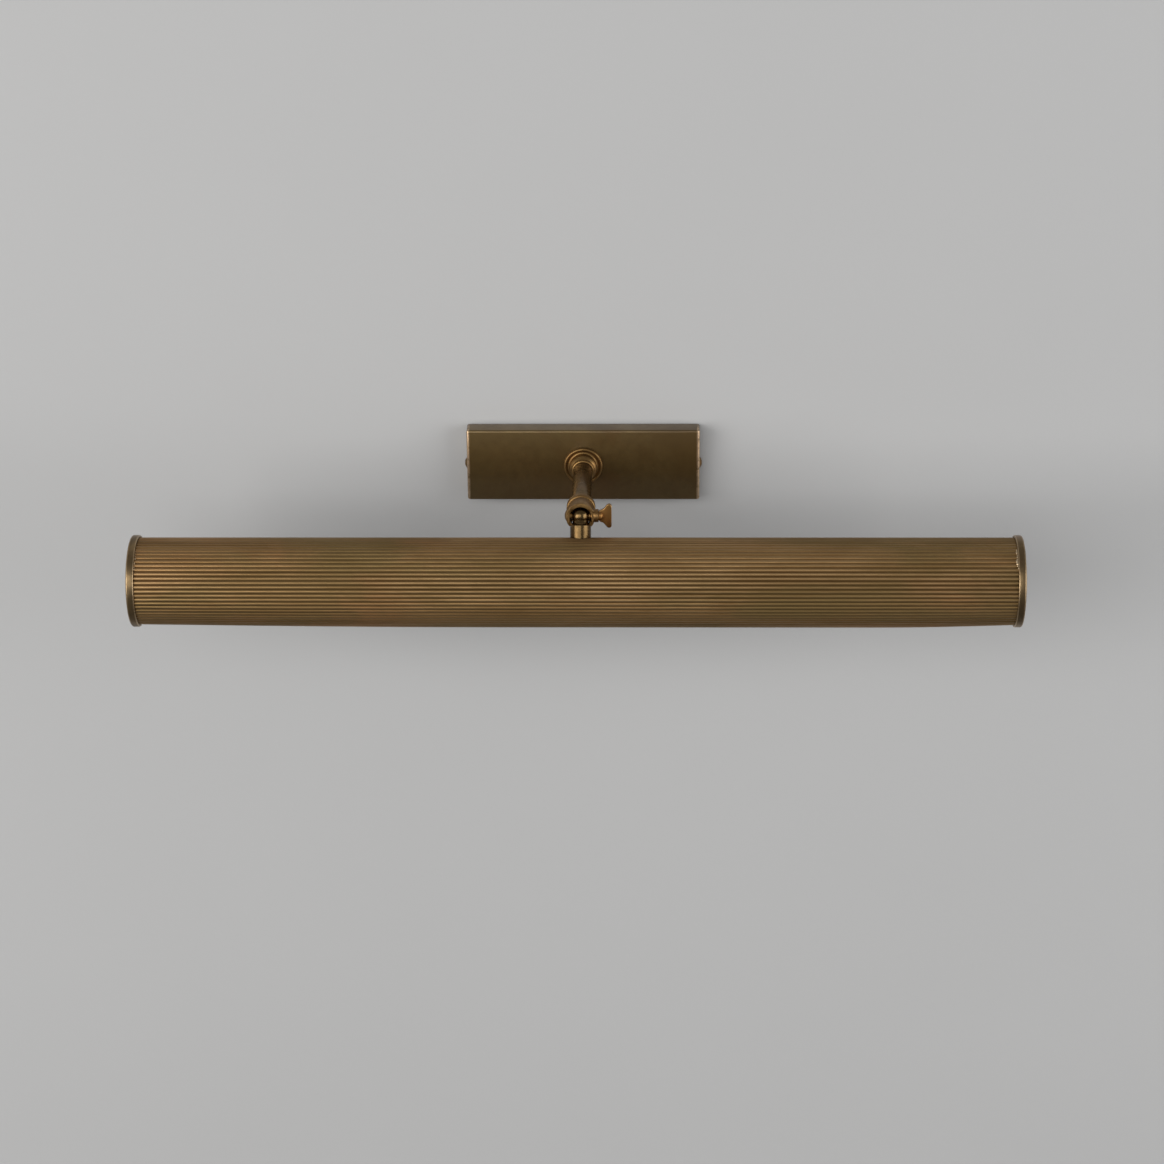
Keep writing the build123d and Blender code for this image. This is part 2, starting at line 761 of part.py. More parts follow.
glass_wall = 0.8
glass_start = 116.0
dome_start = lamp_end - lamp_radius
for side_name, side in (("left", -1), ("right", 1)):
    with BuildPart() as lamp_glass:
        with BuildSketch(lamp_plane):
            with BuildLine():
                inside = lamp_radius - glass_wall
                dome_inside = lamp_end - glass_wall
                Polyline(
                    (side * dome_inside, 0),
                    (side * lamp_end, 0),
                )
                ThreePointArc(
                    (side * lamp_end, 0),
                    (side * (dome_start + lamp_radius * sin(radians(45))), lamp_radius * sin(radians(45))),
                    (side * dome_start, lamp_radius),
                )
                Polyline(
                    (side * dome_start, lamp_radius),
                    (side * (glass_start + 7), lamp_radius),
                    (side * (glass_start + 2), 8.6),
                    (side * glass_start, 7.8),
                    (side * glass_start, 7.8 - glass_wall),
                    (side * (glass_start + 2), 8.6 - glass_wall),
                    (side * (glass_start + 7), inside),
                    (side * dome_start, inside),
                )
                ThreePointArc(
                    (side * dome_start, inside),
                    (side * (dome_start + inside * sin(radians(45))), inside * sin(radians(45))),
                    (side * dome_inside, 0),
                )
            make_face()
        revolve(axis=shade_axis)
    save(lamp_glass, f"lamp_glass_{side_name}")

# ==== wiring ====
# two insulated leads from the terminal block, through the arm, to the back of the ball
lead_level = -4.0
block_edge = block_x + block_length / 2
arm_lead_end = -(pivot_reach - slot_reach_past_centre)
arm_leads = []
for height in (pole_pitch / 2 - 0.5, -(pole_pitch / 2 - 0.5)):
    arm_leads.append(lead(
        [
            (block_edge - 3, lead_level, height),
            (block_edge + 3.5, lead_level, height),
            (0, lead_level, height / 3.5 * 0.85),
            (0, arm_lead_end, height / 3.5 * 0.85),
        ],
        (3.0, 2.0),
        Plane(origin=(block_edge - 3, lead_level, height), z_dir=(1, 0, 0)),
    ))
arm_lead_pair = Compound(label="arm_leads", children=arm_leads)
export_step(arm_lead_pair, "parts/arm_leads.step")

# two leads down the stem to the left lampholder; they turn side by side under the nipple
shade_leads = []
entry_x = shade_offset - 80.0
for start_x, turn_down, entry_down in ((-0.8, 26.5, shade_distance - 0.85), (0.8, 28.4, shade_distance + 0.85)):
    route_points = [
        stem_point(start_x, 0, slot_reach_past_centre + 0.2),
        stem_point(start_x, 0, turn_down),
        stem_point(shade_offset - 30, 0.5, turn_down),
        stem_point(shade_offset - 52, 1.2, entry_down),
        stem_point(entry_x, 1.2, entry_down),
    ]
    shade_leads.append(lead(
        route_points,
        (4.5, 12.0, 12.0),
        Plane(origin=route_points[0], z_dir=-stem_up),
    ))
shade_lead_pair = Compound(label="shade_leads", children=shade_leads)
export_step(shade_lead_pair, "parts/shade_leads.step")

# two link leads from the left lampholder on to the right one
link_leads = []
for run_down, entry_down in ((26.5, shade_distance - 0.85), (28.4, shade_distance + 0.85)):
    route_points = [
        stem_point(shade_offset - 80, -1.2, entry_down),
        stem_point(shade_offset - 52, -1.2, entry_down),
        stem_point(shade_offset - 30, -3.0, run_down),
        stem_point(shade_offset + 30, -3.0, run_down),
        stem_point(shade_offset + 52, -1.2, entry_down),
        stem_point(shade_offset + 80, -1.2, entry_down),
    ]
    link_leads.append(lead(
        route_points,
        (12.0, 12.0, 12.0, 12.0),
        Plane(origin=route_points[0], z_dir=(1, 0, 0)),
    ))
link_lead_pair = Compound(label="link_leads", children=link_leads)
export_step(link_lead_pair, "parts/link_leads.step")
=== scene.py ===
import json
import random
from math import asin, atan2, cos, degrees, pi, radians, sin

import bmesh
import bpy
from mathutils import Matrix, Vector


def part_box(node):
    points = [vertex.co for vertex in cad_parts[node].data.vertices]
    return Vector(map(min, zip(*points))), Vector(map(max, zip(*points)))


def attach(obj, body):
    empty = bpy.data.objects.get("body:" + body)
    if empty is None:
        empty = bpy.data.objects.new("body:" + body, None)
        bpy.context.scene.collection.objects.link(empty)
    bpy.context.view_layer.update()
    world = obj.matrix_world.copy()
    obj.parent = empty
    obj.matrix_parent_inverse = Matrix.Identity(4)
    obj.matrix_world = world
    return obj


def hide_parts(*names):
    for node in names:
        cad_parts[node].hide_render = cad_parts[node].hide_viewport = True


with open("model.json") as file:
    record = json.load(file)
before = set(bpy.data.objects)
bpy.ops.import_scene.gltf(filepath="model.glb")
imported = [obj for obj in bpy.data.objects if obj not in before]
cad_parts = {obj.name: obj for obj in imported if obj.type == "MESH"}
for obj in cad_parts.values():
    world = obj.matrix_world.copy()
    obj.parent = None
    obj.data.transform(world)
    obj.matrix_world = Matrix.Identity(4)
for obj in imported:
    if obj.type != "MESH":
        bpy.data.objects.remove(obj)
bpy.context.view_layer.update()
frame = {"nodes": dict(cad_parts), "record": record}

nodes = frame["nodes"]
joints = {joint["name"]: joint for joint in frame["record"]["behaviour"]["joints"]}
mm = 0.001
tiny = 1e-5
random.seed(7)


# places read from the frame
pivot = Vector(joints["shade_tilt"]["pos_m"])
canopyLow, canopyHigh = (Vector(v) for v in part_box("canopy_cover"))
lampLow, lampHigh = (Vector(v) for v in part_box("lamp_glass_left"))
shadeLow, shadeHigh = (Vector(v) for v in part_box("shade"))
capLow, capHigh = (Vector(v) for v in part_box("end_cap_left"))
capRightLow, capRightHigh = (Vector(v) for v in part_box("end_cap_right"))
shadeCentre = Vector(((shadeLow.x + shadeHigh.x) / 2, (lampLow.y + lampHigh.y) / 2, (lampLow.z + lampHigh.z) / 2))
stemUp = (pivot - Vector((pivot.x, shadeCentre.y, shadeCentre.z))).normalized()
stemRear = stemUp.cross(Vector((1, 0, 0)))
print("frame read: shade centre", tuple(round(v, 4) for v in shadeCentre))


# camera, stage and lights
view = {"place": (0.0406, -1.8025, 0.7129), "yaw": 1.346, "pitch": -23.94, "roll": -0.52, "lens": 92.4,
        "sensor": 36}


def addCamera():
    yaw, pitch, roll = (radians(view[key]) for key in ("yaw", "pitch", "roll"))
    ahead = Vector((-sin(yaw) * cos(pitch), cos(yaw) * cos(pitch), sin(pitch)))
    right = ahead.cross(Vector((0, 0, 1))).normalized()
    up = right.cross(ahead)
    turned = Matrix((right, up, -ahead)).transposed().to_4x4()
    camera = bpy.data.objects.new("camera", bpy.data.cameras.new("camera"))
    camera.data.lens = view["lens"]
    camera.data.sensor_width = view["sensor"]
    camera.matrix_world = Matrix.Translation(view["place"]) @ turned @ Matrix.Rotation(roll, 4, "Z")
    bpy.context.scene.collection.objects.link(camera)
    bpy.context.scene.camera = camera


def verts(items):
    return [item for item in items if isinstance(item, bmesh.types.BMVert)]


def linkMesh(name, bm):
    mesh = bpy.data.meshes.new(name)
    bm.to_mesh(mesh)
    bm.free()
    thing = bpy.data.objects.new(name, mesh)
    bpy.context.scene.collection.objects.link(thing)
    return thing


def newMaterial(name):
    material = bpy.data.materials.new(name)
    material.use_nodes = True
    tree = material.node_tree
    tree.nodes.clear()
    return material, tree


def addNode(tree, kind, values=None, **settings):
    node = tree.nodes.new(kind)
    for key, value in settings.items():
        setattr(node, key, value)
    for key, value in (values or {}).items():
        node.inputs[key].default_value = value
    return node


stage = {"wallColour": (0.48, 0.48, 0.48, 1), "floorColour": (0.18, 0.18, 0.18, 1), "cloudShade": 0.955,
         "darkFrom": -0.7, "darkTo": -1.0, "gap": 0.0015, "halfWidth": 7.0, "wallTop": 5.0, "floorDrop": 1.35,
         "floorDepth": 7.0, "sweep": 0.5, "sweepSteps": 12}


def oneSidedPaint(name, colour):
    material, tree = newMaterial(name)
    out = addNode(tree, "ShaderNodeOutputMaterial")
    paint = addNode(tree, "ShaderNodeBsdfPrincipled", {"Roughness": 0.85, "Specular IOR Level": 0.25})
    place = addNode(tree, "ShaderNodeTexCoord")
    broad = addNode(tree, "ShaderNodeTexNoise", {"Scale": 3.0, "Detail": 4.0, "Roughness": 0.6})
    clouded = [part * stage["cloudShade"] for part in colour[:3]] + [1]
    shade = addNode(tree, "ShaderNodeMix", {"B": clouded}, data_type="RGBA")
    shade.inputs["A"].default_value = colour
    roller = addNode(tree, "ShaderNodeTexNoise", {"Scale": 260.0, "Detail": 3.0})
    bump = addNode(tree, "ShaderNodeBump", {"Strength": 0.05, "Distance": 0.001})
    clear = addNode(tree, "ShaderNodeBsdfTransparent")
    pick = addNode(tree, "ShaderNodeMixShader")
    side = addNode(tree, "ShaderNodeNewGeometry")
    link = tree.links.new
    link(place.outputs["Object"], broad.inputs["Vector"])
    link(place.outputs["Object"], roller.inputs["Vector"])
    link(broad.outputs["Fac"], shade.inputs["Factor"])
    # the floor far below is dark
    height = addNode(tree, "ShaderNodeSeparateXYZ")
    lower = addNode(tree, "ShaderNodeMapRange", {"From Min": stage["darkFrom"], "From Max": stage["darkTo"]})
    floorMix = addNode(tree, "ShaderNodeMix", {"B": stage["floorColour"]}, data_type="RGBA")
    link(place.outputs["Object"], height.inputs["Vector"])
    link(height.outputs["Z"], lower.inputs["Value"])
    link(lower.outputs["Result"], floorMix.inputs["Factor"])
    link(shade.outputs["Result"], floorMix.inputs["A"])
    link(floorMix.outputs["Result"], paint.inputs["Base Color"])
    link(roller.outputs["Fac"], bump.inputs["Height"])
    link(bump.outputs["Normal"], paint.inputs["Normal"])
    link(side.outputs["Backfacing"], pick.inputs["Fac"])
    link(paint.outputs["BSDF"], pick.inputs[1])
    link(clear.outputs["BSDF"], pick.inputs[2])
    link(pick.outputs["Shader"], out.inputs["Surface"])
    return material


def addStage():
    # a wall that sweeps into a floor well below the light; both are seen only from the room's side
    bm = bmesh.new()
    profile = [bm.verts.new((-stage["halfWidth"], stage["gap"], stage["wallTop"]))]
    for step in range(stage["sweepSteps"] + 1):
        turn = radians(90 * step / stage["sweepSteps"])
        profile.append(bm.verts.new((
            -stage["halfWidth"],
            stage["gap"] - stage["sweep"] * (1 - cos(turn)),
            -stage["floorDrop"] + stage["sweep"] * (1 - sin(turn)),
        )))
    profile.append(bm.verts.new((-stage["halfWidth"], -stage["floorDepth"], -stage["floorDrop"])))
    line = [bm.edges.new(pair) for pair in zip(profile, profile[1:])]
    grown = bmesh.ops.extrude_edge_only(bm, edges=line)
    bmesh.ops.translate(bm, vec=(2 * stage["halfWidth"], 0, 0), verts=verts(grown["geom"]))
    for face in bm.faces:
        face.smooth = True
    bm.normal_update()
    if min(bm.faces, key=lambda f: -f.calc_center_median().z).normal.y > 0:
        bmesh.ops.reverse_faces(bm, faces=bm.faces[:])
    backdrop = linkMesh("backdrop", bm)
    backdrop.data.materials.append(oneSidedPaint("wallPaint", stage["wallColour"]))
    backdrop.visible_shadow = False


# each light's azimuth and elevation in degrees, distance and size in metres, power and tint
lights = {
    "front": (-15, 20, 3.2, (2.0, 1.7), 28, (1.0, 1.0, 0.995)),
    "key": (-49, 8, 3.2, (1.9, 2.0), 60, (1.0, 0.985, 0.965)),
    "graze": (62, 6, 3.0, (2.4, 2.4), 56, (1.0, 1.0, 1.0)),
    "rear": (180, 25, 3.0, (2.5, 2.5), 5, (1.0, 1.0, 1.0)),
}
lightAim = Vector((0, -0.05, 0))
ambient = {"colour": (0.98, 0.99, 1.0, 1), "strength": 0.25}


def addLights():
    for name, (azimuth, elevation, distance, size, power, tint) in lights.items():
        turn, rise = radians(azimuth), radians(elevation)
        away = Vector((sin(turn) * cos(rise), -cos(turn) * cos(rise), sin(rise)))
        lamp = bpy.data.lights.new(name, "AREA")
        lamp.shape = "RECTANGLE"
        lamp.size, lamp.size_y = size
        lamp.energy = power
        lamp.color = tint
        holder = bpy.data.objects.new(name, lamp)
        holder.location = lightAim + away * distance
        holder.rotation_euler = (-away).to_track_quat("-Z", "Y").to_euler()
        bpy.context.scene.collection.objects.link(holder)
    world = bpy.data.worlds.new("room")
    world.use_nodes = True
    backdropNode = world.node_tree.nodes["Background"]
    backdropNode.inputs["Color"].default_value = ambient["colour"]
    backdropNode.inputs["Strength"].default_value = ambient["strength"]
    bpy.context.scene.world = world


addCamera()
addStage()
addLights()
bpy.context.scene.view_settings.view_transform = "Standard"
print("stage, camera and lights set")


# shader groups
def newGroup(name, inputs, outputs):
    group = bpy.data.node_groups.new(name, "ShaderNodeTree")
    for label, kind, value in inputs:
        socket = group.interface.new_socket(label, in_out="INPUT", socket_type="NodeSocket" + kind)
        if value is not None:
            socket.default_value = value
    for label, kind in outputs:
        group.interface.new_socket(label, in_out="OUTPUT", socket_type="NodeSocket" + kind)
    return group, group.nodes.new("NodeGroupInput"), group.nodes.new("NodeGroupOutput")


def mathNode(tree, operation, first, second=None, clamp=False):
    node = addNode(tree, "ShaderNodeMath", operation=operation, use_clamp=clamp)
    for index, value in enumerate((first, second)):
        if isinstance(value, (int, float)):
            node.inputs[index].default_value = value
        elif value is not None:
            tree.links.new(value, node.inputs[index])
    return node.outputs["Value"]


def mixColour(tree, factor, first, second, blend="MIX"):
    node = addNode(tree, "ShaderNodeMix", data_type="RGBA", blend_type=blend)
    for key, value in (("Factor", factor), ("A", first), ("B", second)):
        if isinstance(value, (int, float)):
            node.inputs[key].default_value = value
        elif isinstance(value, tuple):
            node.inputs[key].default_value = (*value[:3], 1)
        else:
            tree.links.new(value, node.inputs[key])
    return node.outputs["Result"]


def ramped(tree, value, low, high, outLow=0.0, outHigh=1.0):
    node = addNode(tree, "ShaderNodeMapRange", {"From Min": low, "From Max": high, "To Min": outLow, "To Max": outHigh},
                   interpolation_type="SMOOTHSTEP")
    tree.links.new(value, node.inputs["Value"])
    return node.outputs["Result"]


def noise(tree, vector, scale, detail=5.0, rough=0.6, warp=0.0):
    node = addNode(tree, "ShaderNodeTexNoise", {"Detail": detail, "Roughness": rough, "Distortion": warp})
    tree.links.new(vector, node.inputs["Vector"])
    if isinstance(scale, (int, float)):
        node.inputs["Scale"].default_value = scale
    else:
        tree.links.new(scale, node.inputs["Scale"])
    return node.outputs["Fac"]


def buildPatina():
    # broad clouds of dark and of copper tarnish, small freckles, and rubbed spots; on the canopy's front end edges the
    # rubbed colour is also a painted highlight
    group, given, result = newGroup("patina", [
        ("Clean", "Color", (0.3, 0.2, 0.1, 1)), ("Dark", "Color", (0.1, 0.07, 0.04, 1)),
        ("Copper", "Color", (0.3, 0.15, 0.08, 1)), ("RubbedAndGlint", "Color", (0.6, 0.45, 0.25, 1)),
        ("Size", "Float", 1.0), ("Stretch", "Float", 1.0), ("Darkness", "Float", 0.6), ("Coppery", "Float", 0.4),
        ("Freckles", "Float", 0.3), ("WearAndGlint", "Float", 0.0), ("Smooth", "Float", 0.3), ("Dull", "Float", 0.5),
    ], [("Color", "Color"), ("Roughness", "Float"), ("Height", "Float")])
    link = group.links.new
    place = group.nodes.new("ShaderNodeTexCoord")
    stretch = addNode(group, "ShaderNodeCombineXYZ", {"Y": 1.0, "Z": 1.0})
    link(given.outputs["Stretch"], stretch.inputs["X"])
    spread = addNode(group, "ShaderNodeVectorMath", operation="MULTIPLY")
    link(place.outputs["Object"], spread.inputs[0])
    link(stretch.outputs["Vector"], spread.inputs[1])
    here = spread.outputs["Vector"]
    size = given.outputs["Size"]
    clouds = noise(group, here, mathNode(group, "MULTIPLY", size, 38.0), 7.0, 0.62, 0.4)
    bloom = noise(group, here, mathNode(group, "MULTIPLY", size, 21.0), 5.0, 0.6, 0.8)
    freckle = noise(group, here, mathNode(group, "MULTIPLY", size, 420.0), 4.0, 0.7)
    grain = noise(group, here, mathNode(group, "MULTIPLY", size, 1500.0), 2.0, 0.5)
    darkMask = mathNode(group, "MULTIPLY", ramped(group, clouds, 0.36, 0.66), given.outputs["Darkness"], True)
    copperMask = mathNode(group, "MULTIPLY", ramped(group, bloom, 0.46, 0.68), given.outputs["Coppery"], True)
    freckleMask = mathNode(group, "MULTIPLY", ramped(group, freckle, 0.50, 0.80), given.outputs["Freckles"])
    colour = mixColour(group, darkMask, given.outputs["Clean"], given.outputs["Dark"])
    colour = mixColour(group, copperMask, colour, given.outputs["Copper"])
    colour = mixColour(group, freckleMask, colour, given.outputs["Dark"])
    # the rubbed mask: edge wear, and on the canopy's front end edges a painted highlight
    broken = mathNode(group, "MULTIPLY", given.outputs["WearAndGlint"], ramped(group, freckle, 0.30, 0.52), True)
    colour = mixColour(group, broken, colour, given.outputs["RubbedAndGlint"])
    link(colour, result.inputs["Color"])
    cloudPart = mathNode(group, "MULTIPLY", clouds, 0.7)
    dullness = mathNode(group, "ADD", cloudPart, mathNode(group, "MULTIPLY", freckle, 0.3))
    span = mathNode(group, "SUBTRACT", given.outputs["Dull"], given.outputs["Smooth"])
    duller = mathNode(group, "MULTIPLY", ramped(group, dullness, 0.3, 0.7), span)
    rough = mathNode(group, "ADD", given.outputs["Smooth"], duller)
    rough = mathNode(group, "SUBTRACT", rough, mathNode(group, "MULTIPLY", broken, 0.08), True)
    link(rough, result.inputs["Roughness"])
    pits = mathNode(group, "MULTIPLY", freckle, 0.6)
    height = mathNode(group, "ADD", pits, mathNode(group, "MULTIPLY", grain, 0.4))
    link(height, result.inputs["Height"])
    return group


patinaGroup = buildPatina()


def attribute(tree, name):
    return addNode(tree, "ShaderNodeAttribute", attribute_name=name).outputs["Fac"]


def brass(name, clean, dark, copper, rubbed, size=1.0, stretch=1.0, darkness=0.6, coppery=0.4, smooth=0.3, dull=0.5,
          metal=1.0, relief=0.08, freckles=0.25, coat=0.0, reeded=False):
    material, tree = newMaterial(name)
    out = addNode(tree, "ShaderNodeOutputMaterial")
    surface = addNode(tree, "ShaderNodeBsdfPrincipled", {"Metallic": metal, "Coat Weight": coat, "Coat Roughness": 0.2})
    patina = addNode(tree, "ShaderNodeGroup")
    patina.node_tree = patinaGroup
    for key, value in (("Clean", clean), ("Dark", dark), ("Copper", copper), ("RubbedAndGlint", rubbed)):
        patina.inputs[key].default_value = (*value, 1)
    for key, value in (("Size", size), ("Stretch", stretch), ("Darkness", darkness), ("Coppery", coppery),
                       ("Smooth", smooth), ("Dull", dull), ("Freckles", freckles)):
        patina.inputs[key].default_value = value
    tree.links.new(attribute(tree, "wearAndGlint"), patina.inputs["WearAndGlint"])
    colour, rough = patina.outputs["Color"], patina.outputs["Roughness"]
    if reeded:
        # tarnish stays in the grooves and the crests are wiped clean
        groove = ramped(tree, attribute(tree, "crest"), 0.75, 0.05)
        colour = mixColour(tree, mathNode(tree, "MULTIPLY", groove, reeded["grooveDark"]), colour, dark)
        # broad olive patches and long dark streaks run along the shade
        place = addNode(tree, "ShaderNodeTexCoord").outputs["Object"]
        long = addNode(tree, "ShaderNodeVectorMath", {1: (0.3, 1.0, 1.0)}, operation="MULTIPLY")
        tree.links.new(place, long.inputs[0])
        patches = noise(tree, long.outputs["Vector"], 24.0, 5.0, 0.62, 0.5)
        oliveMask = mathNode(tree, "MULTIPLY", ramped(tree, patches, 0.44, 0.62), 0.6)
        colour = mixColour(tree, oliveMask, colour, reeded["olive"])
        drawn = addNode(tree, "ShaderNodeVectorMath", {1: (0.035, 1.0, 1.0)}, operation="MULTIPLY")
        tree.links.new(place, drawn.inputs[0])
        streaks = noise(tree, drawn.outputs["Vector"], 170.0, 4.0, 0.6)
        streakMask = mathNode(tree, "MULTIPLY", ramped(tree, streaks, 0.46, 0.66), 0.42)
        colour = mixColour(tree, streakMask, colour, dark)
        wiped = mathNode(tree, "MULTIPLY", ramped(tree, patches, 0.70, 0.30), reeded["crestLight"])
        crestLight = mathNode(tree, "MULTIPLY", ramped(tree, attribute(tree, "crest"), 0.72, 1.0), wiped)
        colour = mixColour(tree, crestLight, colour, rubbed)
        rough = mathNode(tree, "ADD", rough, mathNode(tree, "MULTIPLY", groove, 0.18), True)
    tree.links.new(colour, surface.inputs["Base Color"])
    tree.links.new(rough, surface.inputs["Roughness"])
    bump = addNode(tree, "ShaderNodeBump", {"Strength": relief, "Distance": 0.0004})
    tree.links.new(patina.outputs["Height"], bump.inputs["Height"])
    tree.links.new(bump.outputs["Normal"], surface.inputs["Normal"])
    tree.links.new(surface.outputs["BSDF"], out.inputs["Surface"])
    return material


def moulded(name, colour, second, rough, scale=300.0, metal=0.0, relief=0.05, coat=0.0):
    material, tree = newMaterial(name)
    out = addNode(tree, "ShaderNodeOutputMaterial")
    surface = addNode(tree, "ShaderNodeBsdfPrincipled", {"Metallic": metal, "Coat Weight": coat})
    place = addNode(tree, "ShaderNodeTexCoord")
    speck = noise(tree, place.outputs["Object"], scale, 4.0, 0.6)
    cloud = noise(tree, place.outputs["Object"], scale * 0.12, 4.0, 0.6)
    tree.links.new(mixColour(tree, ramped(tree, cloud, 0.35, 0.65), colour, second), surface.inputs["Base Color"])
    tree.links.new(ramped(tree, speck, 0.3, 0.7, rough - 0.06, rough + 0.08), surface.inputs["Roughness"])
    bump = addNode(tree, "ShaderNodeBump", {"Strength": relief, "Distance": 0.0003})
    tree.links.new(speck, bump.inputs["Height"])
    tree.links.new(bump.outputs["Normal"], surface.inputs["Normal"])
    tree.links.new(surface.outputs["BSDF"], out.inputs["Surface"])
    return material


def clearGlass(name):
    material, tree = newMaterial(name)
    out = addNode(tree, "ShaderNodeOutputMaterial")
    surface = addNode(tree, "ShaderNodeBsdfPrincipled", {"Base Color": (0.97, 0.98, 0.97, 1), "IOR": 1.46,
                                                         "Transmission Weight": 1.0})
    place = addNode(tree, "ShaderNodeTexCoord")
    film = noise(tree, place.outputs["Object"], 60.0, 4.0, 0.6)
    tree.links.new(ramped(tree, film, 0.4, 0.7, 0.01, 0.07), surface.inputs["Roughness"])
    tree.links.new(surface.outputs["BSDF"], out.inputs["Surface"])
    return material


finishes = {
    "shade": brass("reededBrass", (0.325, 0.200, 0.088), (0.130, 0.070, 0.022), (0.36, 0.178, 0.078),
                   (0.50, 0.34, 0.175), size=0.7, stretch=0.35, darkness=0.6, coppery=0.6, smooth=0.38, dull=0.58,
                   freckles=0.12, reeded={"grooveDark": 0.8, "crestLight": 0.34, "olive": (0.19, 0.135, 0.055)}),
    # the canopy's rubbed colour on its front end edges is a painted highlight as well as wear
    "canopy": brass("canopyBrass", (0.185, 0.122, 0.046), (0.100, 0.058, 0.020), (0.170, 0.088, 0.032),
                    (0.60, 0.42, 0.26), size=0.55, darkness=0.75, coppery=0.5, smooth=0.34, dull=0.50,
                    freckles=0.14, coat=0.6),
    "cap": brass("capBrass", (0.22, 0.15, 0.075), (0.085, 0.058, 0.032), (0.22, 0.12, 0.06), (0.62, 0.46, 0.28),
                 size=1.6, darkness=0.7, coppery=0.45, smooth=0.28, dull=0.5),
    "knuckle": brass("knuckleBrass", (0.26, 0.155, 0.058), (0.105, 0.058, 0.020), (0.24, 0.115, 0.045),
                     (0.52, 0.36, 0.18), size=2.0, darkness=0.55, coppery=0.4, smooth=0.33, dull=0.5),
    "polished": brass("polishedBrass", (0.150, 0.096, 0.040), (0.060, 0.034, 0.014), (0.150, 0.078, 0.034),
                      (0.42, 0.30, 0.16), size=2.0, darkness=0.6, coppery=0.5, smooth=0.20, dull=0.34, relief=0.03),
    "wing": brass("wingBrass", (0.30, 0.165, 0.052), (0.16, 0.08, 0.025), (0.30, 0.135, 0.045), (0.46, 0.29, 0.13),
                  size=2.0, darkness=0.4, coppery=0.5, smooth=0.32, dull=0.48),
    "solder": brass("solderScuff", (0.62, 0.48, 0.31), (0.30, 0.21, 0.12), (0.5, 0.32, 0.2), (0.9, 0.8, 0.62),
                    size=3.0, darkness=0.3, coppery=0.2, smooth=0.25, dull=0.4),
    "inside": brass("insideBrass", (0.52, 0.40, 0.22), (0.30, 0.21, 0.11), (0.40, 0.24, 0.13), (0.6, 0.48, 0.3),
                    size=1.0, stretch=0.4, darkness=0.35, coppery=0.2, smooth=0.3, dull=0.5),
    "contact": brass("contactBrass", (0.75, 0.56, 0.28), (0.48, 0.33, 0.16), (0.6, 0.38, 0.2), (0.9, 0.75, 0.45),
                     size=3.0, darkness=0.3, coppery=0.2, smooth=0.2, dull=0.35),
    "zinc": moulded("zincSteel", (0.52, 0.52, 0.50), (0.40, 0.40, 0.385), 0.36, 500.0, metal=1.0),
    "rubber": moulded("blackRubber", (0.022, 0.022, 0.022), (0.035, 0.034, 0.033), 0.75, 700.0),
    "nylon": moulded("whiteNylon", (0.74, 0.73, 0.68), (0.66, 0.65, 0.60), 0.5, 500.0),
    "phenolic": moulded("blackPhenolic", (0.016, 0.014, 0.013), (0.03, 0.024, 0.02), 0.33, 400.0, coat=0.2),
    "nickel": moulded("nickelCap", (0.60, 0.57, 0.52), (0.46, 0.43, 0.38), 0.3, 500.0, metal=1.0),
    "lead": moulded("leadInsulation", (0.30, 0.14, 0.06), (0.24, 0.11, 0.05), 0.5, 900.0, relief=0.15),
    "phosphor": moulded("phosphorCoat", (0.80, 0.55, 0.12), (0.72, 0.47, 0.10), 0.6, 900.0),
    "glass": clearGlass("lampGlass"),
}
print("materials built:", len(finishes))


# mesh helpers
def lathe(bm, outline, centre, along, steps=96, closed=False):
    # turns an outline of (distance, radius) in mm about an axis
    aside = along.orthogonal().normalized()
    points = [bm.verts.new(centre + along * (d * mm) + aside * (r * mm)) for d, r in outline]
    rims = [bm.edges.new(pair) for pair in zip(points, points[1:])]
    if closed:
        rims.append(bm.edges.new((points[-1], points[0])))
    bmesh.ops.spin(bm, geom=points + rims, cent=centre, axis=along, angle=2 * pi, steps=steps, use_merge=True)
    bmesh.ops.remove_doubles(bm, verts=bm.verts[:], dist=1e-6)


def arcPoints(centreD, centreR, radius, start, end, count):
    # points of an outline's round stretch; angles are in degrees from the axis direction
    turns = [radians(start + (end - start) * step / count) for step in range(count + 1)]
    return [(centreD + radius * cos(turn), centreR + radius * sin(turn)) for turn in turns]


# the layer holds edge wear, and on the canopy's front end edges a painted highlight
def wearAndGlintLayer(bm):
    return bm.verts.layers.float.get("wearAndGlint") or bm.verts.layers.float.new("wearAndGlint")


def roundEdges(bm, width, segments=2, limit=32, wearing=1.0):
    wearAndGlintLayer(bm)
    sharp = [e for e in bm.edges if len(e.link_faces) == 2 and e.calc_face_angle(0) > radians(limit)]
    roundThese(bm, sharp, width, segments, wearing)


def roundThese(bm, chosen, width, segments, wearing):
    wearAndGlint = wearAndGlintLayer(bm)
    made = bmesh.ops.bevel(bm, geom=chosen, offset=width * mm, offset_type="OFFSET", affect="EDGES", segments=segments,
                           profile=0.5, material=-1, clamp_overlap=True)
    rounded = set(made["faces"])
    for vert in {v for face in rounded for v in face.verts}:
        # the flats beside a rounded edge stay tarnished
        if all(face in rounded for face in vert.link_faces):
            vert[wearAndGlint] = wearing


def finishPiece(name, bm, finish, body, replaced=(), angle=38, recalc=True):
    if recalc:
        bmesh.ops.recalc_face_normals(bm, faces=bm.faces[:])
    piece = linkMesh(name, bm)
    piece.data.shade_smooth()
    piece.data.set_sharp_from_angle(angle=radians(angle))
    piece.data.materials.append(finishes[finish])
    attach(piece, body)
    if replaced:
        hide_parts(*replaced)
    return piece


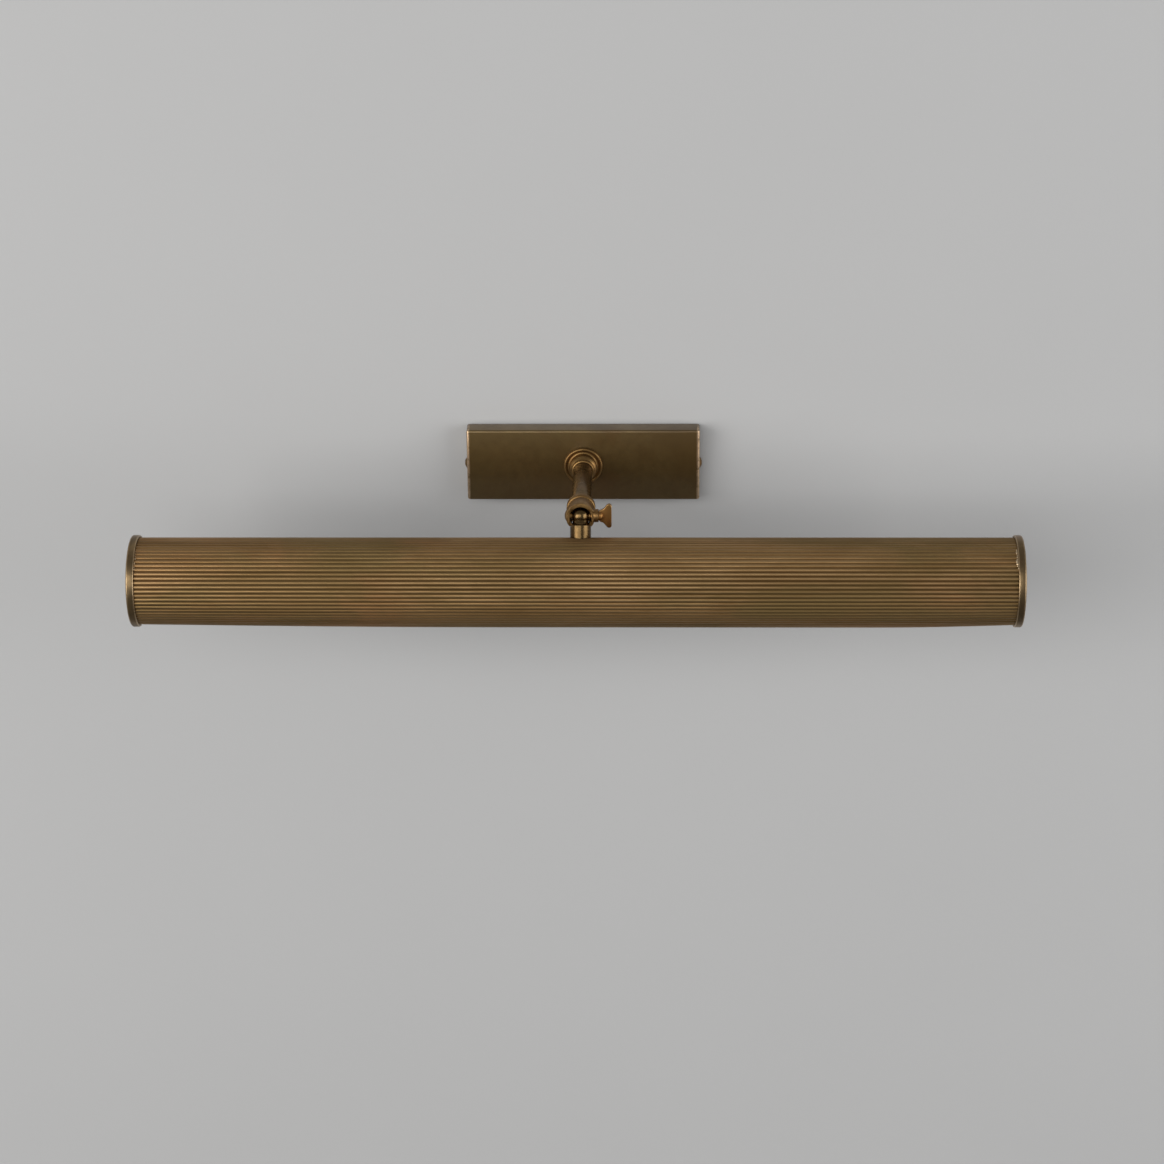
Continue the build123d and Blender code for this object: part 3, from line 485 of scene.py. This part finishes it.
def softened(node, name, finish, body, width=0.25, segments=2, wearing=0.8):
    # the machined part with its sharp edges broken
    bm = bmesh.new()
    bm.from_mesh(nodes[node].data)
    bmesh.ops.remove_doubles(bm, verts=bm.verts[:], dist=2e-6)
    bmesh.ops.dissolve_limit(bm, angle_limit=radians(0.4), verts=bm.verts[:], edges=bm.edges[:])
    roundEdges(bm, width, segments, 35, wearing)
    return finishPiece(name, bm, finish, body, (node,), recalc=False)


# canopy
canopy = {"sheet": 1.5, "corner": 1.4, "cornerSteps": 4, "wornGlintBand": 2.1, "backLine": 0.3}


def makeCanopy():
    size = canopyHigh - canopyLow
    middle = (canopyHigh + canopyLow) / 2
    bm = bmesh.new()
    bmesh.ops.create_cube(bm, size=1, matrix=Matrix.Translation(middle) @ Matrix.Diagonal((*size, 1)))
    back = [f for f in bm.faces if f.calc_center_median().y > canopyHigh.y - tiny]
    bmesh.ops.delete(bm, geom=back, context="FACES_ONLY")
    rims = [e for e in bm.edges if len(e.link_faces) == 2]
    bmesh.ops.bevel(bm, geom=rims, offset=canopy["corner"] * mm, offset_type="OFFSET", affect="EDGES",
                    segments=canopy["cornerSteps"], profile=0.5, material=-1)
    bmesh.ops.recalc_face_normals(bm, faces=bm.faces[:])
    wearAndGlint = wearAndGlintLayer(bm)
    band = canopy["wornGlintBand"] * mm
    # a line across each end stops the worn edge, with its painted highlight, there
    for side in (-1, 1):
        bmesh.ops.bisect_plane(bm, geom=bm.verts[:] + bm.edges[:] + bm.faces[:], dist=1e-7,
                               plane_co=(side * (canopyHigh.x - band), 0, 0), plane_no=(1, 0, 0))
    # and one close to the back keeps the shading of the sides even
    bmesh.ops.bisect_plane(bm, geom=bm.verts[:] + bm.edges[:] + bm.faces[:], dist=1e-7,
                           plane_co=(0, canopyHigh.y - canopy["backLine"] * mm, 0), plane_no=(0, 1, 0))
    # the front end edges get the rubbed colour: partly wear, partly a painted highlight along the left and right edges
    for vert in bm.verts:
        onEnd = canopyHigh.x - band + tiny < abs(vert.co.x) < canopyHigh.x - tiny
        vert[wearAndGlint] = 1.0 if onEnd and vert.co.y < canopyLow.y + band else 0.0
    piece = finishPiece("canopy_shell", bm, "canopy", "wall_arm", ("canopy_cover",), recalc=False)
    # the outside is kept and the sheet grows inwards
    wall = piece.modifiers.new("sheet", "SOLIDIFY")
    wall.thickness = canopy["sheet"] * mm
    wall.offset = -1
    wall.use_even_offset = True


makeCanopy()

coverScrew = {"radius": 3.8, "height": 1.55, "domeSteps": 8, "slotWidth": 0.9, "slotDepth": 0.75, "slotWall": 0.08,
              "shank": 1.95, "length": 7.0, "slotTurns": (28, -64)}


def makeCoverScrews():
    low, high = (Vector(v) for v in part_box("cover_screws"))
    level = (low + high) / 2
    radius, height, steps = coverScrew["radius"], coverScrew["height"], coverScrew["domeSteps"]
    shank, length = coverScrew["shank"], coverScrew["length"]
    halfSlot = coverScrew["slotWidth"] / 2
    sphere = (radius**2 + height**2) / (2 * height)
    reach = asin(radius / sphere)
    bm = bmesh.new()
    for side, turn in zip((-1, 1), coverScrew["slotTurns"]):
        seat = Vector((side * abs(canopyHigh.x), level.y, level.z))
        along = Vector((side, 0, 0))
        one = bmesh.new()
        bends = [reach * step / steps for step in range(steps + 1)]
        dome = [(height - sphere + sphere * cos(bend), sphere * sin(bend)) for bend in bends]
        lathe(one, dome + [(0.0, radius), (0.0, shank), (-length, shank), (-length, 0.0)], seat, along, steps=48)
        # the driver slot is pressed down into the dome
        across = Vector((0, cos(radians(turn)), sin(radians(turn))))
        for offset in (-halfSlot, -halfSlot - coverScrew["slotWall"], halfSlot, halfSlot + coverScrew["slotWall"]):
            bmesh.ops.bisect_plane(one, geom=one.verts[:] + one.edges[:] + one.faces[:],
                                   plane_co=seat + across * (offset * mm), plane_no=across)
        floor = height - coverScrew["slotDepth"]
        for vert in one.verts:
            away = vert.co - seat
            if abs(away.dot(across)) < halfSlot * mm + tiny and away.dot(along) > floor * mm:
                vert.co -= along * (away.dot(along) - floor * mm)
        mesh = bpy.data.meshes.new("screwOne")
        one.to_mesh(mesh)
        one.free()
        bm.from_mesh(mesh)
        bpy.data.meshes.remove(mesh)
    finishPiece("cover_screw_pair", bm, "knuckle", "wall_arm", ("cover_screws",), angle=30)


makeCoverScrews()
print("canopy and its screws built")


# hub, arm and knuckle
outward = Vector((0, -1, 0))
hub = {"outline": [(0.0, 5.15), (0.0, 12.0), (0.35, 12.35), (1.2, 12.5), (2.0, 12.35), (2.45, 11.9), (2.55, 11.2),
                   (2.2, 10.6), (1.9, 10.1), (1.9, 9.3), (2.4, 8.7), (3.1, 8.5), (3.7, 8.75), (4.6, 9.0), (5.6, 9.0),
                   (6.6, 8.75), (7.4, 8.2), (7.9, 7.6), (8.2, 7.3), (9.0, 7.25), (9.6, 7.1), (10.0, 6.7), (10.0, 6.05),
                   (6.0, 6.05), (6.0, 5.15)]}


def makeHub():
    bm = bmesh.new()
    lathe(bm, hub["outline"], Vector((0, canopyLow.y, 0)), outward, closed=True)
    finishPiece("hub_turned", bm, "knuckle", "wall_arm", ("hub_collar",), angle=50)


makeHub()
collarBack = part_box("arm_end_collar")[1][1]
collar = {"outline": [(0.0, 6.05), (0.0, 7.4), (0.25, 7.9), (0.9, 8.5), (1.6, 8.85), (2.2, 9.0), (4.9, 9.0),
                      (5.5, 8.75), (5.88, 8.2), (5.88, 6.05)]}


def makeCollar():
    bm = bmesh.new()
    lathe(bm, collar["outline"], Vector((0, collarBack, 0)), outward, closed=True)
    finishPiece("collar_turned", bm, "knuckle", "wall_arm", ("arm_end_collar",), angle=50)


makeCollar()
jaw = {"inside": 6.8, "outside": 9.0, "dip": 41, "plugGap": 24, "steps": 28, "back": -4.2, "rimTop": 2.7,
       "rimBottom": 3.6, "turned": 8.2, "rimReach": 8.5, "endRound": 0.45, "edge": 0.3}


def addJaw(bm, first, final):
    turns = [radians(first + (final - first) * step / jaw["steps"]) for step in range(jaw["steps"] + 1)]
    outline = [(jaw["outside"] * cos(turn), jaw["outside"] * sin(turn)) for turn in turns]
    outline += [(jaw["inside"] * cos(turn), jaw["inside"] * sin(turn)) for turn in reversed(turns)]
    ring = []
    for across, level in outline:
        slant = (jaw["turned"] - level) / (2 * jaw["turned"]) * (jaw["rimBottom"] - jaw["rimTop"])
        ring.append(bm.verts.new(pivot + Vector((across, -jaw["rimTop"] - slant, level)) * mm))
    grown = bmesh.ops.extrude_face_region(bm, geom=[bm.faces.new(ring)])
    back = verts(grown["geom"])
    for vert in back:
        vert.co.y = pivot.y - jaw["back"] * mm
    last = jaw["steps"]
    ends = {ring[0], ring[last], ring[last + 1], ring[-1]}
    across = [e for v in ends for e in v.link_edges if e.other_vert(v) in back]
    roundThese(bm, across, jaw["endRound"], 3, 0.0)


def makeSocket():
    bm = bmesh.new()
    bm.from_mesh(nodes["knuckle_socket"].data)
    bmesh.ops.remove_doubles(bm, verts=bm.verts[:], dist=2e-6)
    wearAndGlintLayer(bm)
    # the jaws round the ball make a thick ring, open below for the stem and at the side for the plug
    addJaw(bm, jaw["plugGap"], 180 + jaw["dip"])
    addJaw(bm, -jaw["dip"], -jaw["plugGap"])
    outer = {v for v in bm.verts if (v.co - pivot).xz.length > jaw["rimReach"] * mm}
    rims = [e for e in bm.edges if len(e.link_faces) == 2 and e.calc_face_angle(0) > 1 and outer.issuperset(e.verts)]
    roundThese(bm, rims, jaw["edge"], 2, 0.7)
    finishPiece("socket_turned", bm, "knuckle", "wall_arm", ("knuckle_socket",), angle=40)


makeSocket()
softened("clamp_boss", "boss_turned", "knuckle", "wall_arm", 0.2)
softened("pivot_pin", "pin_turned", "knuckle", "wall_arm", 0.15)
softened("arm_tube", "arm_drawn", "polished", "wall_arm", 0.15)
softened("ball_stud", "ball_turned", "polished", "shade_head", 0.22, 3)

neckRing = {"outline": [(3.1, 4.3), (3.1, 4.8), (4.2, 5.0), (5.0, 5.4), (5.5, 6.0), (5.8, 6.3), (5.8, 4.3)]}


def makeNeckRing():
    bm = bmesh.new()
    lathe(bm, neckRing["outline"], pivot, -stemUp, steps=64, closed=True)
    finishPiece("neck_ring", bm, "polished", "shade_head", (), angle=50)


makeNeckRing()

wing = {"thick": 2.2, "round": 0.45,
        "shank": [(6.3, 0.0), (6.3, 2.1), (6.7, 2.5), (11.2, 2.5), (11.35, 3.1), (12.2, 3.3), (13.0, 2.9), (14.2, 1.6),
                  (14.8, 0.0)],
        "upper": [(11.45, 2.952), (11.7, 3.6), (12.6, 3.85), (13.7, 4.3), (14.7, 5.1), (15.4, 6.0), (15.9, 6.8),
                  (16.5, 7.45), (17.2, 7.8), (18.0, 7.85), (18.7, 7.5), (19.2, 6.8), (19.2, 3.4)]}


def makeWing():
    bm = bmesh.new()
    # the hub behind the wings and the threaded shank
    lathe(bm, wing["shank"], pivot, Vector((1, 0, 0)), steps=48)
    ring = wing["upper"] + [(x, -z) for x, z in reversed(wing["upper"])]
    plate = [bm.verts.new(pivot + Vector((x * mm, -wing["thick"] / 2 * mm, z * mm))) for x, z in ring]
    face = bm.faces.new(plate)
    grown = bmesh.ops.extrude_face_region(bm, geom=[face])
    bmesh.ops.translate(bm, vec=(0, wing["thick"] * mm, 0), verts=verts(grown["geom"]))
    roundEdges(bm, wing["round"], 3, 50, 0.7)
    finishPiece("wing_screw_forged", bm, "wing", "wing_screw", ("wing_screw",), angle=45)


makeWing()
softened("friction_plug", "plug_turned", "knuckle", "friction_plug", 0.12)
print("hub, arm and knuckle built")


# shade
reeds = {"first": -60.0, "pitch": 6.0, "count": 41, "radius": 27.0, "depth": 0.62, "steps": 8, "sheet": 0.8,
         "bow": 1.9, "bowStart": 100.0, "leftRise": 0.42, "rightFall": 0.16, "cuts": 35, "endLine": 0.3, "blunt": 0.7}
lastReed = reeds["first"] + reeds["pitch"] * reeds["count"]


def aroundShade(angle):
    # direction in the shade's section, counted from the stem over the front
    return stemUp * cos(radians(angle)) - stemRear * sin(radians(angle))


def angleOf(point):
    away = point - shadeCentre
    angle = degrees(atan2(-away.dot(stemRear), away.dot(stemUp)))
    return angle + 360 if angle < -100 else angle


def makeShade():
    bm = bmesh.new()
    crest = bm.verts.layers.float.new("crest")
    start = Vector((shadeLow.x, shadeCentre.y, shadeCentre.z))
    points = []
    for step in range(reeds["count"] * reeds["steps"] + 1):
        # each reed is a rounded ridge between two narrow grooves
        lift = abs(sin(pi * step / reeds["steps"])) ** reeds["blunt"]
        away = reeds["radius"] - reeds["depth"] * (1 - lift)
        angle = reeds["first"] + reeds["pitch"] * step / reeds["steps"]
        vert = bm.verts.new(start + aroundShade(angle) * (away * mm))
        vert[crest] = lift
        points.append(vert)
    section = [bm.edges.new(pair) for pair in zip(points, points[1:])]
    length = shadeHigh.x - shadeLow.x
    grown = bmesh.ops.extrude_edge_only(bm, edges=section)
    bmesh.ops.translate(bm, vec=(length, 0, 0), verts=verts(grown["geom"]))
    long = [e for e in bm.edges if abs(e.verts[0].co.x - e.verts[1].co.x) > length / 2]
    bmesh.ops.subdivide_edges(bm, edges=long, cuts=reeds["cuts"], use_grid_fill=True)
    # a line close to each end keeps the reeds' shading even up to the caps
    for side, edge in ((1, shadeLow.x), (-1, shadeHigh.x)):
        bmesh.ops.bisect_plane(bm, geom=bm.verts[:] + bm.edges[:] + bm.faces[:], dist=1e-7,
                               plane_co=(edge + side * reeds["endLine"] * mm, 0, 0), plane_no=(1, 0, 0))
    # the lower lip bows out a little between the caps
    for vert in bm.verts:
        angle = angleOf(vert.co)
        if angle > reeds["bowStart"]:
            share = (vert.co.x - shadeLow.x) / length
            rise = sin(pi / 2 * min(1, share / reeds["leftRise"]))
            fall = sin(pi / 2 * min(1, (1 - share) / reeds["rightFall"]))
            reach = ((angle - reeds["bowStart"]) / (lastReed - reeds["bowStart"])) ** 2
            vert.co += aroundShade(angle) * (reeds["bow"] * rise * fall * reach * mm)
    bm.normal_update()
    # the sheet's outside faces away from the axis
    bm.faces.ensure_lookup_table()
    probe = bm.faces[len(bm.faces) // 2]
    away = probe.calc_center_median() - shadeCentre
    away.x = 0
    if probe.normal.dot(away) < 0:
        bmesh.ops.reverse_faces(bm, faces=bm.faces[:])
    piece = finishPiece("shade_reeded", bm, "shade", "shade_head", ("shade",), angle=60, recalc=False)
    piece.data.materials.append(finishes["inside"])
    wall = piece.modifiers.new("sheet", "SOLIDIFY")
    wall.thickness = reeds["sheet"] * mm
    wall.offset = -1
    wall.material_offset = 1


makeShade()
print("shade built")

endCap = {"radius": 28.5, "width": 4.8, "sheet": 1.0, "lip": 1.6, "wall": 1.35, "round": 2.1, "innerRound": 0.8,
          "segments": 128}
mouthAngle = (reeds["first"] + lastReed) / 2 + 180
lipDistance = reeds["radius"] * cos(radians(mouthAngle - lastReed))


def makeEndCap(side, name, node):
    mouth = aroundShade(mouthAngle)
    outer = Vector(((capLow.x if side < 0 else capRightHigh.x), shadeCentre.y, shadeCentre.z))
    bm = bmesh.new()
    wearAndGlintLayer(bm)
    turn = Matrix((mouth, Vector((1, 0, 0)).cross(mouth), Vector((1, 0, 0)))).transposed().to_4x4()
    bmesh.ops.create_circle(bm, cap_ends=True, segments=endCap["segments"], radius=endCap["radius"] * mm,
                            matrix=Matrix.Translation(outer) @ turn)
    chord = outer + mouth * ((lipDistance + endCap["lip"]) * mm)
    bmesh.ops.bisect_plane(bm, geom=bm.verts[:] + bm.edges[:] + bm.faces[:], dist=1e-6, plane_co=chord, plane_no=mouth,
                           clear_outer=True)
    grown = bmesh.ops.extrude_face_region(bm, geom=bm.faces[:])
    bmesh.ops.translate(bm, vec=(-side * endCap["width"] * mm, 0, 0), verts=verts(grown["geom"]))
    bmesh.ops.recalc_face_normals(bm, faces=bm.faces[:])
    # the outer edge is spun well round, the mouth edge only a little
    outerRim = [e for e in bm.edges if all(abs(v.co.x - outer.x) < 1e-6 for v in e.verts)]
    roundThese(bm, outerRim, endCap["round"], 6, 0.35)
    innerX = outer.x - side * endCap["width"] * mm
    innerRim = [e for e in bm.edges if all(abs(v.co.x - innerX) < 1e-6 for v in e.verts)]
    roundThese(bm, innerRim, endCap["innerRound"], 3, 0.5)
    inner = max(bm.faces, key=lambda f: -side * f.calc_center_median().x + f.calc_area() * 10)
    bmesh.ops.inset_region(bm, faces=[inner], thickness=(endCap["wall"] - endCap["innerRound"]) * mm,
                           use_even_offset=True)
    pocket = bmesh.ops.extrude_face_region(bm, geom=[inner])
    bmesh.ops.translate(bm, vec=(side * (endCap["width"] - endCap["sheet"]) * mm, 0, 0), verts=verts(pocket["geom"]))
    if inner.is_valid:
        bmesh.ops.delete(bm, geom=[inner], context="FACES_ONLY")
    finishPiece(name, bm, "cap", "shade_head", (node,), angle=35)


makeEndCap(-1, "end_cap_spun_left", "end_cap_left")
makeEndCap(1, "end_cap_spun_right", "end_cap_right")

solder = {"left": (50, 76, 8, (0.25, 0.55)), "right": (47, 74, 9, (0.45, 1.15)), "radius": 27.3, "scatter": 0.4,
          "seam": (-0.1, 0.5), "flat": 0.55, "length": (0.9, 1.9), "width": (0.8, 1.3)}


def makeSolder(name, side):
    # the caps are tacked on with small uneven lumps along the seam
    start, end, count, sizes = solder[name]
    seam = capHigh.x if side < 0 else capRightLow.x
    bm = bmesh.new()
    for index in range(count):
        angle = start + (end - start) * (index + random.uniform(-solder["scatter"], solder["scatter"])) / (count - 1)
        away = aroundShade(angle)
        size = random.uniform(*sizes) * mm
        foot = Vector((seam - side * random.uniform(*solder["seam"]) * mm, shadeCentre.y, shadeCentre.z))
        across = Vector((1, 0, 0)).cross(away) * random.uniform(*solder["length"])
        turn = Matrix((away * solder["flat"], across, Vector((random.uniform(*solder["width"]), 0, 0)))).transposed()
        bmesh.ops.create_icosphere(bm, subdivisions=2, radius=size,
                                   matrix=Matrix.Translation(foot + away * (solder["radius"] * mm)) @ turn.to_4x4())
    finishPiece("solder_" + name, bm, "solder", "shade_head", (), angle=180)


makeSolder("left", -1)
makeSolder("right", 1)
print("end caps built")


# lamps and their holders
def shadePoint(side, distance):
    return Vector((shadeCentre.x + side * distance * mm, shadeCentre.y, shadeCentre.z))


holder = {"foot": [(65.0, 3.3), (65.0, 4.95), (71.5, 4.95), (71.5, 11.4), (71.9, 12.0), (73.0, 12.55), (86.8, 12.55),
                   (87.6, 12.3), (88.2, 11.9)], "ribs": 6, "ribStart": 89.0, "ribPitch": 3.6,
          "rib": [(0.0, 11.3), (0.8, 11.3), (1.1, 11.85), (2.6, 11.85), (2.9, 11.3)],
          "well": [(111.0, 11.3), (111.0, 9.35), (87.6, 9.35), (87.6, 3.3)]}


def makeHolders():
    outline = list(holder["foot"])
    for rib in range(holder["ribs"]):
        outline += [(holder["ribStart"] + rib * holder["ribPitch"] + d, r) for d, r in holder["rib"]]
    outline += holder["well"]
    for side, name in ((-1, "left"), (1, "right")):
        bm = bmesh.new()
        lathe(bm, outline, shadePoint(side, 0), Vector((side, 0, 0)), steps=72, closed=True)
        finishPiece("lampholder_ribbed_" + name, bm, "phenolic", "shade_head", ("lampholder_" + name,),
                    angle=30)


makeHolders()

lampCap = {"tip": [(90.0, 0.0), (90.05, 2.2), (91.0, 2.5), (91.4, 2.6), (93.0, 5.5)], "start": 93.4, "turns": 5,
           "pitch": 3.4, "crest": 6.9, "root": 6.25,
           "skirt": [(112.2, 6.5), (113.4, 7.9), (115.6, 8.1), (116.0, 7.9), (116.0, 0.0)]}


def makeLampCaps():
    outline = list(lampCap["tip"])
    depth = lampCap["crest"] - lampCap["root"]
    for turn in range(lampCap["turns"]):
        middle = lampCap["start"] + (turn + 0.5) * lampCap["pitch"]
        outline += arcPoints(middle, lampCap["root"], depth, 180, 0, 8)
    outline += lampCap["skirt"]
    for side, name in ((-1, "left"), (1, "right")):
        bm = bmesh.new()
        lathe(bm, outline, shadePoint(side, 0), Vector((side, 0, 0)), steps=72)
        finishPiece("lamp_cap_rolled_" + name, bm, "nickel", "shade_head", ("lamp_cap_" + name,),
                    angle=50)


makeLampCaps()

glass = {"radius": 12.5, "end": 209.5, "wall": 0.8, "steps": 16,
         "neck": [(116.0, 7.75), (117.2, 8.0), (118.6, 8.9), (120.4, 10.6), (122.4, 12.0), (124.5, 12.5)],
         "inner": [(124.5, 11.7), (122.4, 11.2), (120.4, 9.8), (118.6, 8.1), (117.2, 7.2), (116.0, 6.95)]}


def makeGlass():
    middle = glass["end"] - glass["radius"]
    dome = arcPoints(middle, 0.0, glass["radius"], 90, 0, glass["steps"])
    hollow = arcPoints(middle, 0.0, glass["radius"] - glass["wall"], 0, 90, glass["steps"])
    dome[-1] = (dome[-1][0], 0.0)
    hollow[0] = (hollow[0][0], 0.0)
    for side, name in ((-1, "left"), (1, "right")):
        bm = bmesh.new()
        for outline in (glass["neck"] + dome, hollow + glass["inner"]):
            lathe(bm, outline, shadePoint(side, 0), Vector((side, 0, 0)), steps=72)
        bmesh.ops.bridge_loops(bm, edges=[e for e in bm.edges if len(e.link_faces) == 1])
        finishPiece("lamp_glass_blown_" + name, bm, "glass", "shade_head", ("lamp_glass_" + name,),
                    angle=60)


makeGlass()

filament = {"start": 131.0, "end": 196.0, "ring": 5.2, "radius": 0.85, "rods": 4, "lowShare": 0.8, "wire": 0.22,
            "top": 199.0, "foot": 127.0,
            "stem": [(116.5, 0.0), (116.5, 5.2), (117.6, 4.6), (120.0, 2.6), (124.0, 1.9), (127.6, 2.2), (129.0, 1.2),
                     (129.4, 0.0)]}


def addRod(bm, first, last, radius, steps=12):
    along = (last - first).normalized()
    length = (last - first).length / mm
    lathe(bm, [(0.0, 0.0), (0.0, radius), (length, radius), (length, 0.0)], first, along, steps)


def makeFilaments():
    for side, name in ((-1, "left"), (1, "right")):
        rods = bmesh.new()
        wires = bmesh.new()
        stems = bmesh.new()
        top = shadePoint(side, filament["top"])
        foot = shadePoint(side, filament["foot"])
        for index in range(filament["rods"]):
            turn = radians(45 + 90 * index)
            aside = (stemUp * cos(turn) + stemRear * sin(turn)) * (filament["ring"] * mm)
            low = shadePoint(side, filament["start"]) + aside * filament["lowShare"]
            high = shadePoint(side, filament["end"]) + aside
            addRod(rods, low, high, filament["radius"])
            addRod(wires, high, top, filament["wire"], 8)
            addRod(wires, foot, low, filament["wire"], 8)
        lathe(stems, filament["stem"], shadePoint(side, 0), Vector((side, 0, 0)), steps=36)
        finishPiece("filaments_" + name, rods, "phosphor", "shade_head", (), angle=40)
        finishPiece("filament_wires_" + name, wires, "nickel", "shade_head", (), angle=40)
        finishPiece("lamp_stem_" + name, stems, "glass", "shade_head", (), angle=60)


makeFilaments()
print("lamps built")


# fixings, carrier and wiring block
# each part whose edges are only broken: its new name, finish, body, slot and edge width in mm
fixings = {
    "wall_bracket": ("bracket_pressed", "zinc", "wall_arm", "zinc_steel", 0.3),
    "cable_grommet": ("grommet_moulded", "rubber", "wall_arm", "black_rubber", 0.4),
    "terminal_block": ("terminal_moulded", "nylon", "wall_arm", "white_nylon", 0.15),
    "terminal_screws": ("terminal_screws_turned", "zinc", "wall_arm", "zinc_steel", 0.12),
    "earth_screw": ("earth_screw_turned", "zinc", "wall_arm", "zinc_steel", 0.15),
    "arm_nipple": ("arm_nipple_threaded", "zinc", "wall_arm", "aged_brass", 0.2),
    "hub_washer": ("hub_washer_pressed", "zinc", "wall_arm", "zinc_steel", 0.15),
    "hub_lock_nut": ("hub_nut_milled", "zinc", "wall_arm", "zinc_steel", 0.25),
    "shade_nipple": ("shade_nipple_threaded", "contact", "shade_head", "aged_brass", 0.2),
    "saddle_washer": ("saddle_washer_pressed", "zinc", "shade_head", "zinc_steel", 0.1),
    "shade_lock_nut": ("shade_nut_milled", "zinc", "shade_head", "zinc_steel", 0.25),
    "lamp_rail": ("lamp_rail_bent", "zinc", "shade_head", "zinc_steel", 0.25),
    "holder_nut_left": ("holder_nut_milled_left", "zinc", "shade_head", "zinc_steel", 0.25),
    "holder_nut_right": ("holder_nut_milled_right", "zinc", "shade_head", "zinc_steel", 0.25),
    "lampholder_shell_left": ("shell_drawn_left", "contact", "shade_head", "contact_brass", 0.15),
    "lampholder_shell_right": ("shell_drawn_right", "contact", "shade_head", "contact_brass", 0.15),
    "centre_contact_left": ("contact_pressed_left", "contact", "shade_head", "contact_brass", 0.15),
    "centre_contact_right": ("contact_pressed_right", "contact", "shade_head", "contact_brass", 0.15),
}
for node, (name, finish, body, slot, width) in fixings.items():
    softened(node, name, finish, body, width)
for node in ("arm_leads", "shade_leads", "link_leads"):
    nodes[node].data.materials.clear()
    nodes[node].data.materials.append(finishes["lead"])
    nodes[node].data.shade_smooth()
print("fixings built")
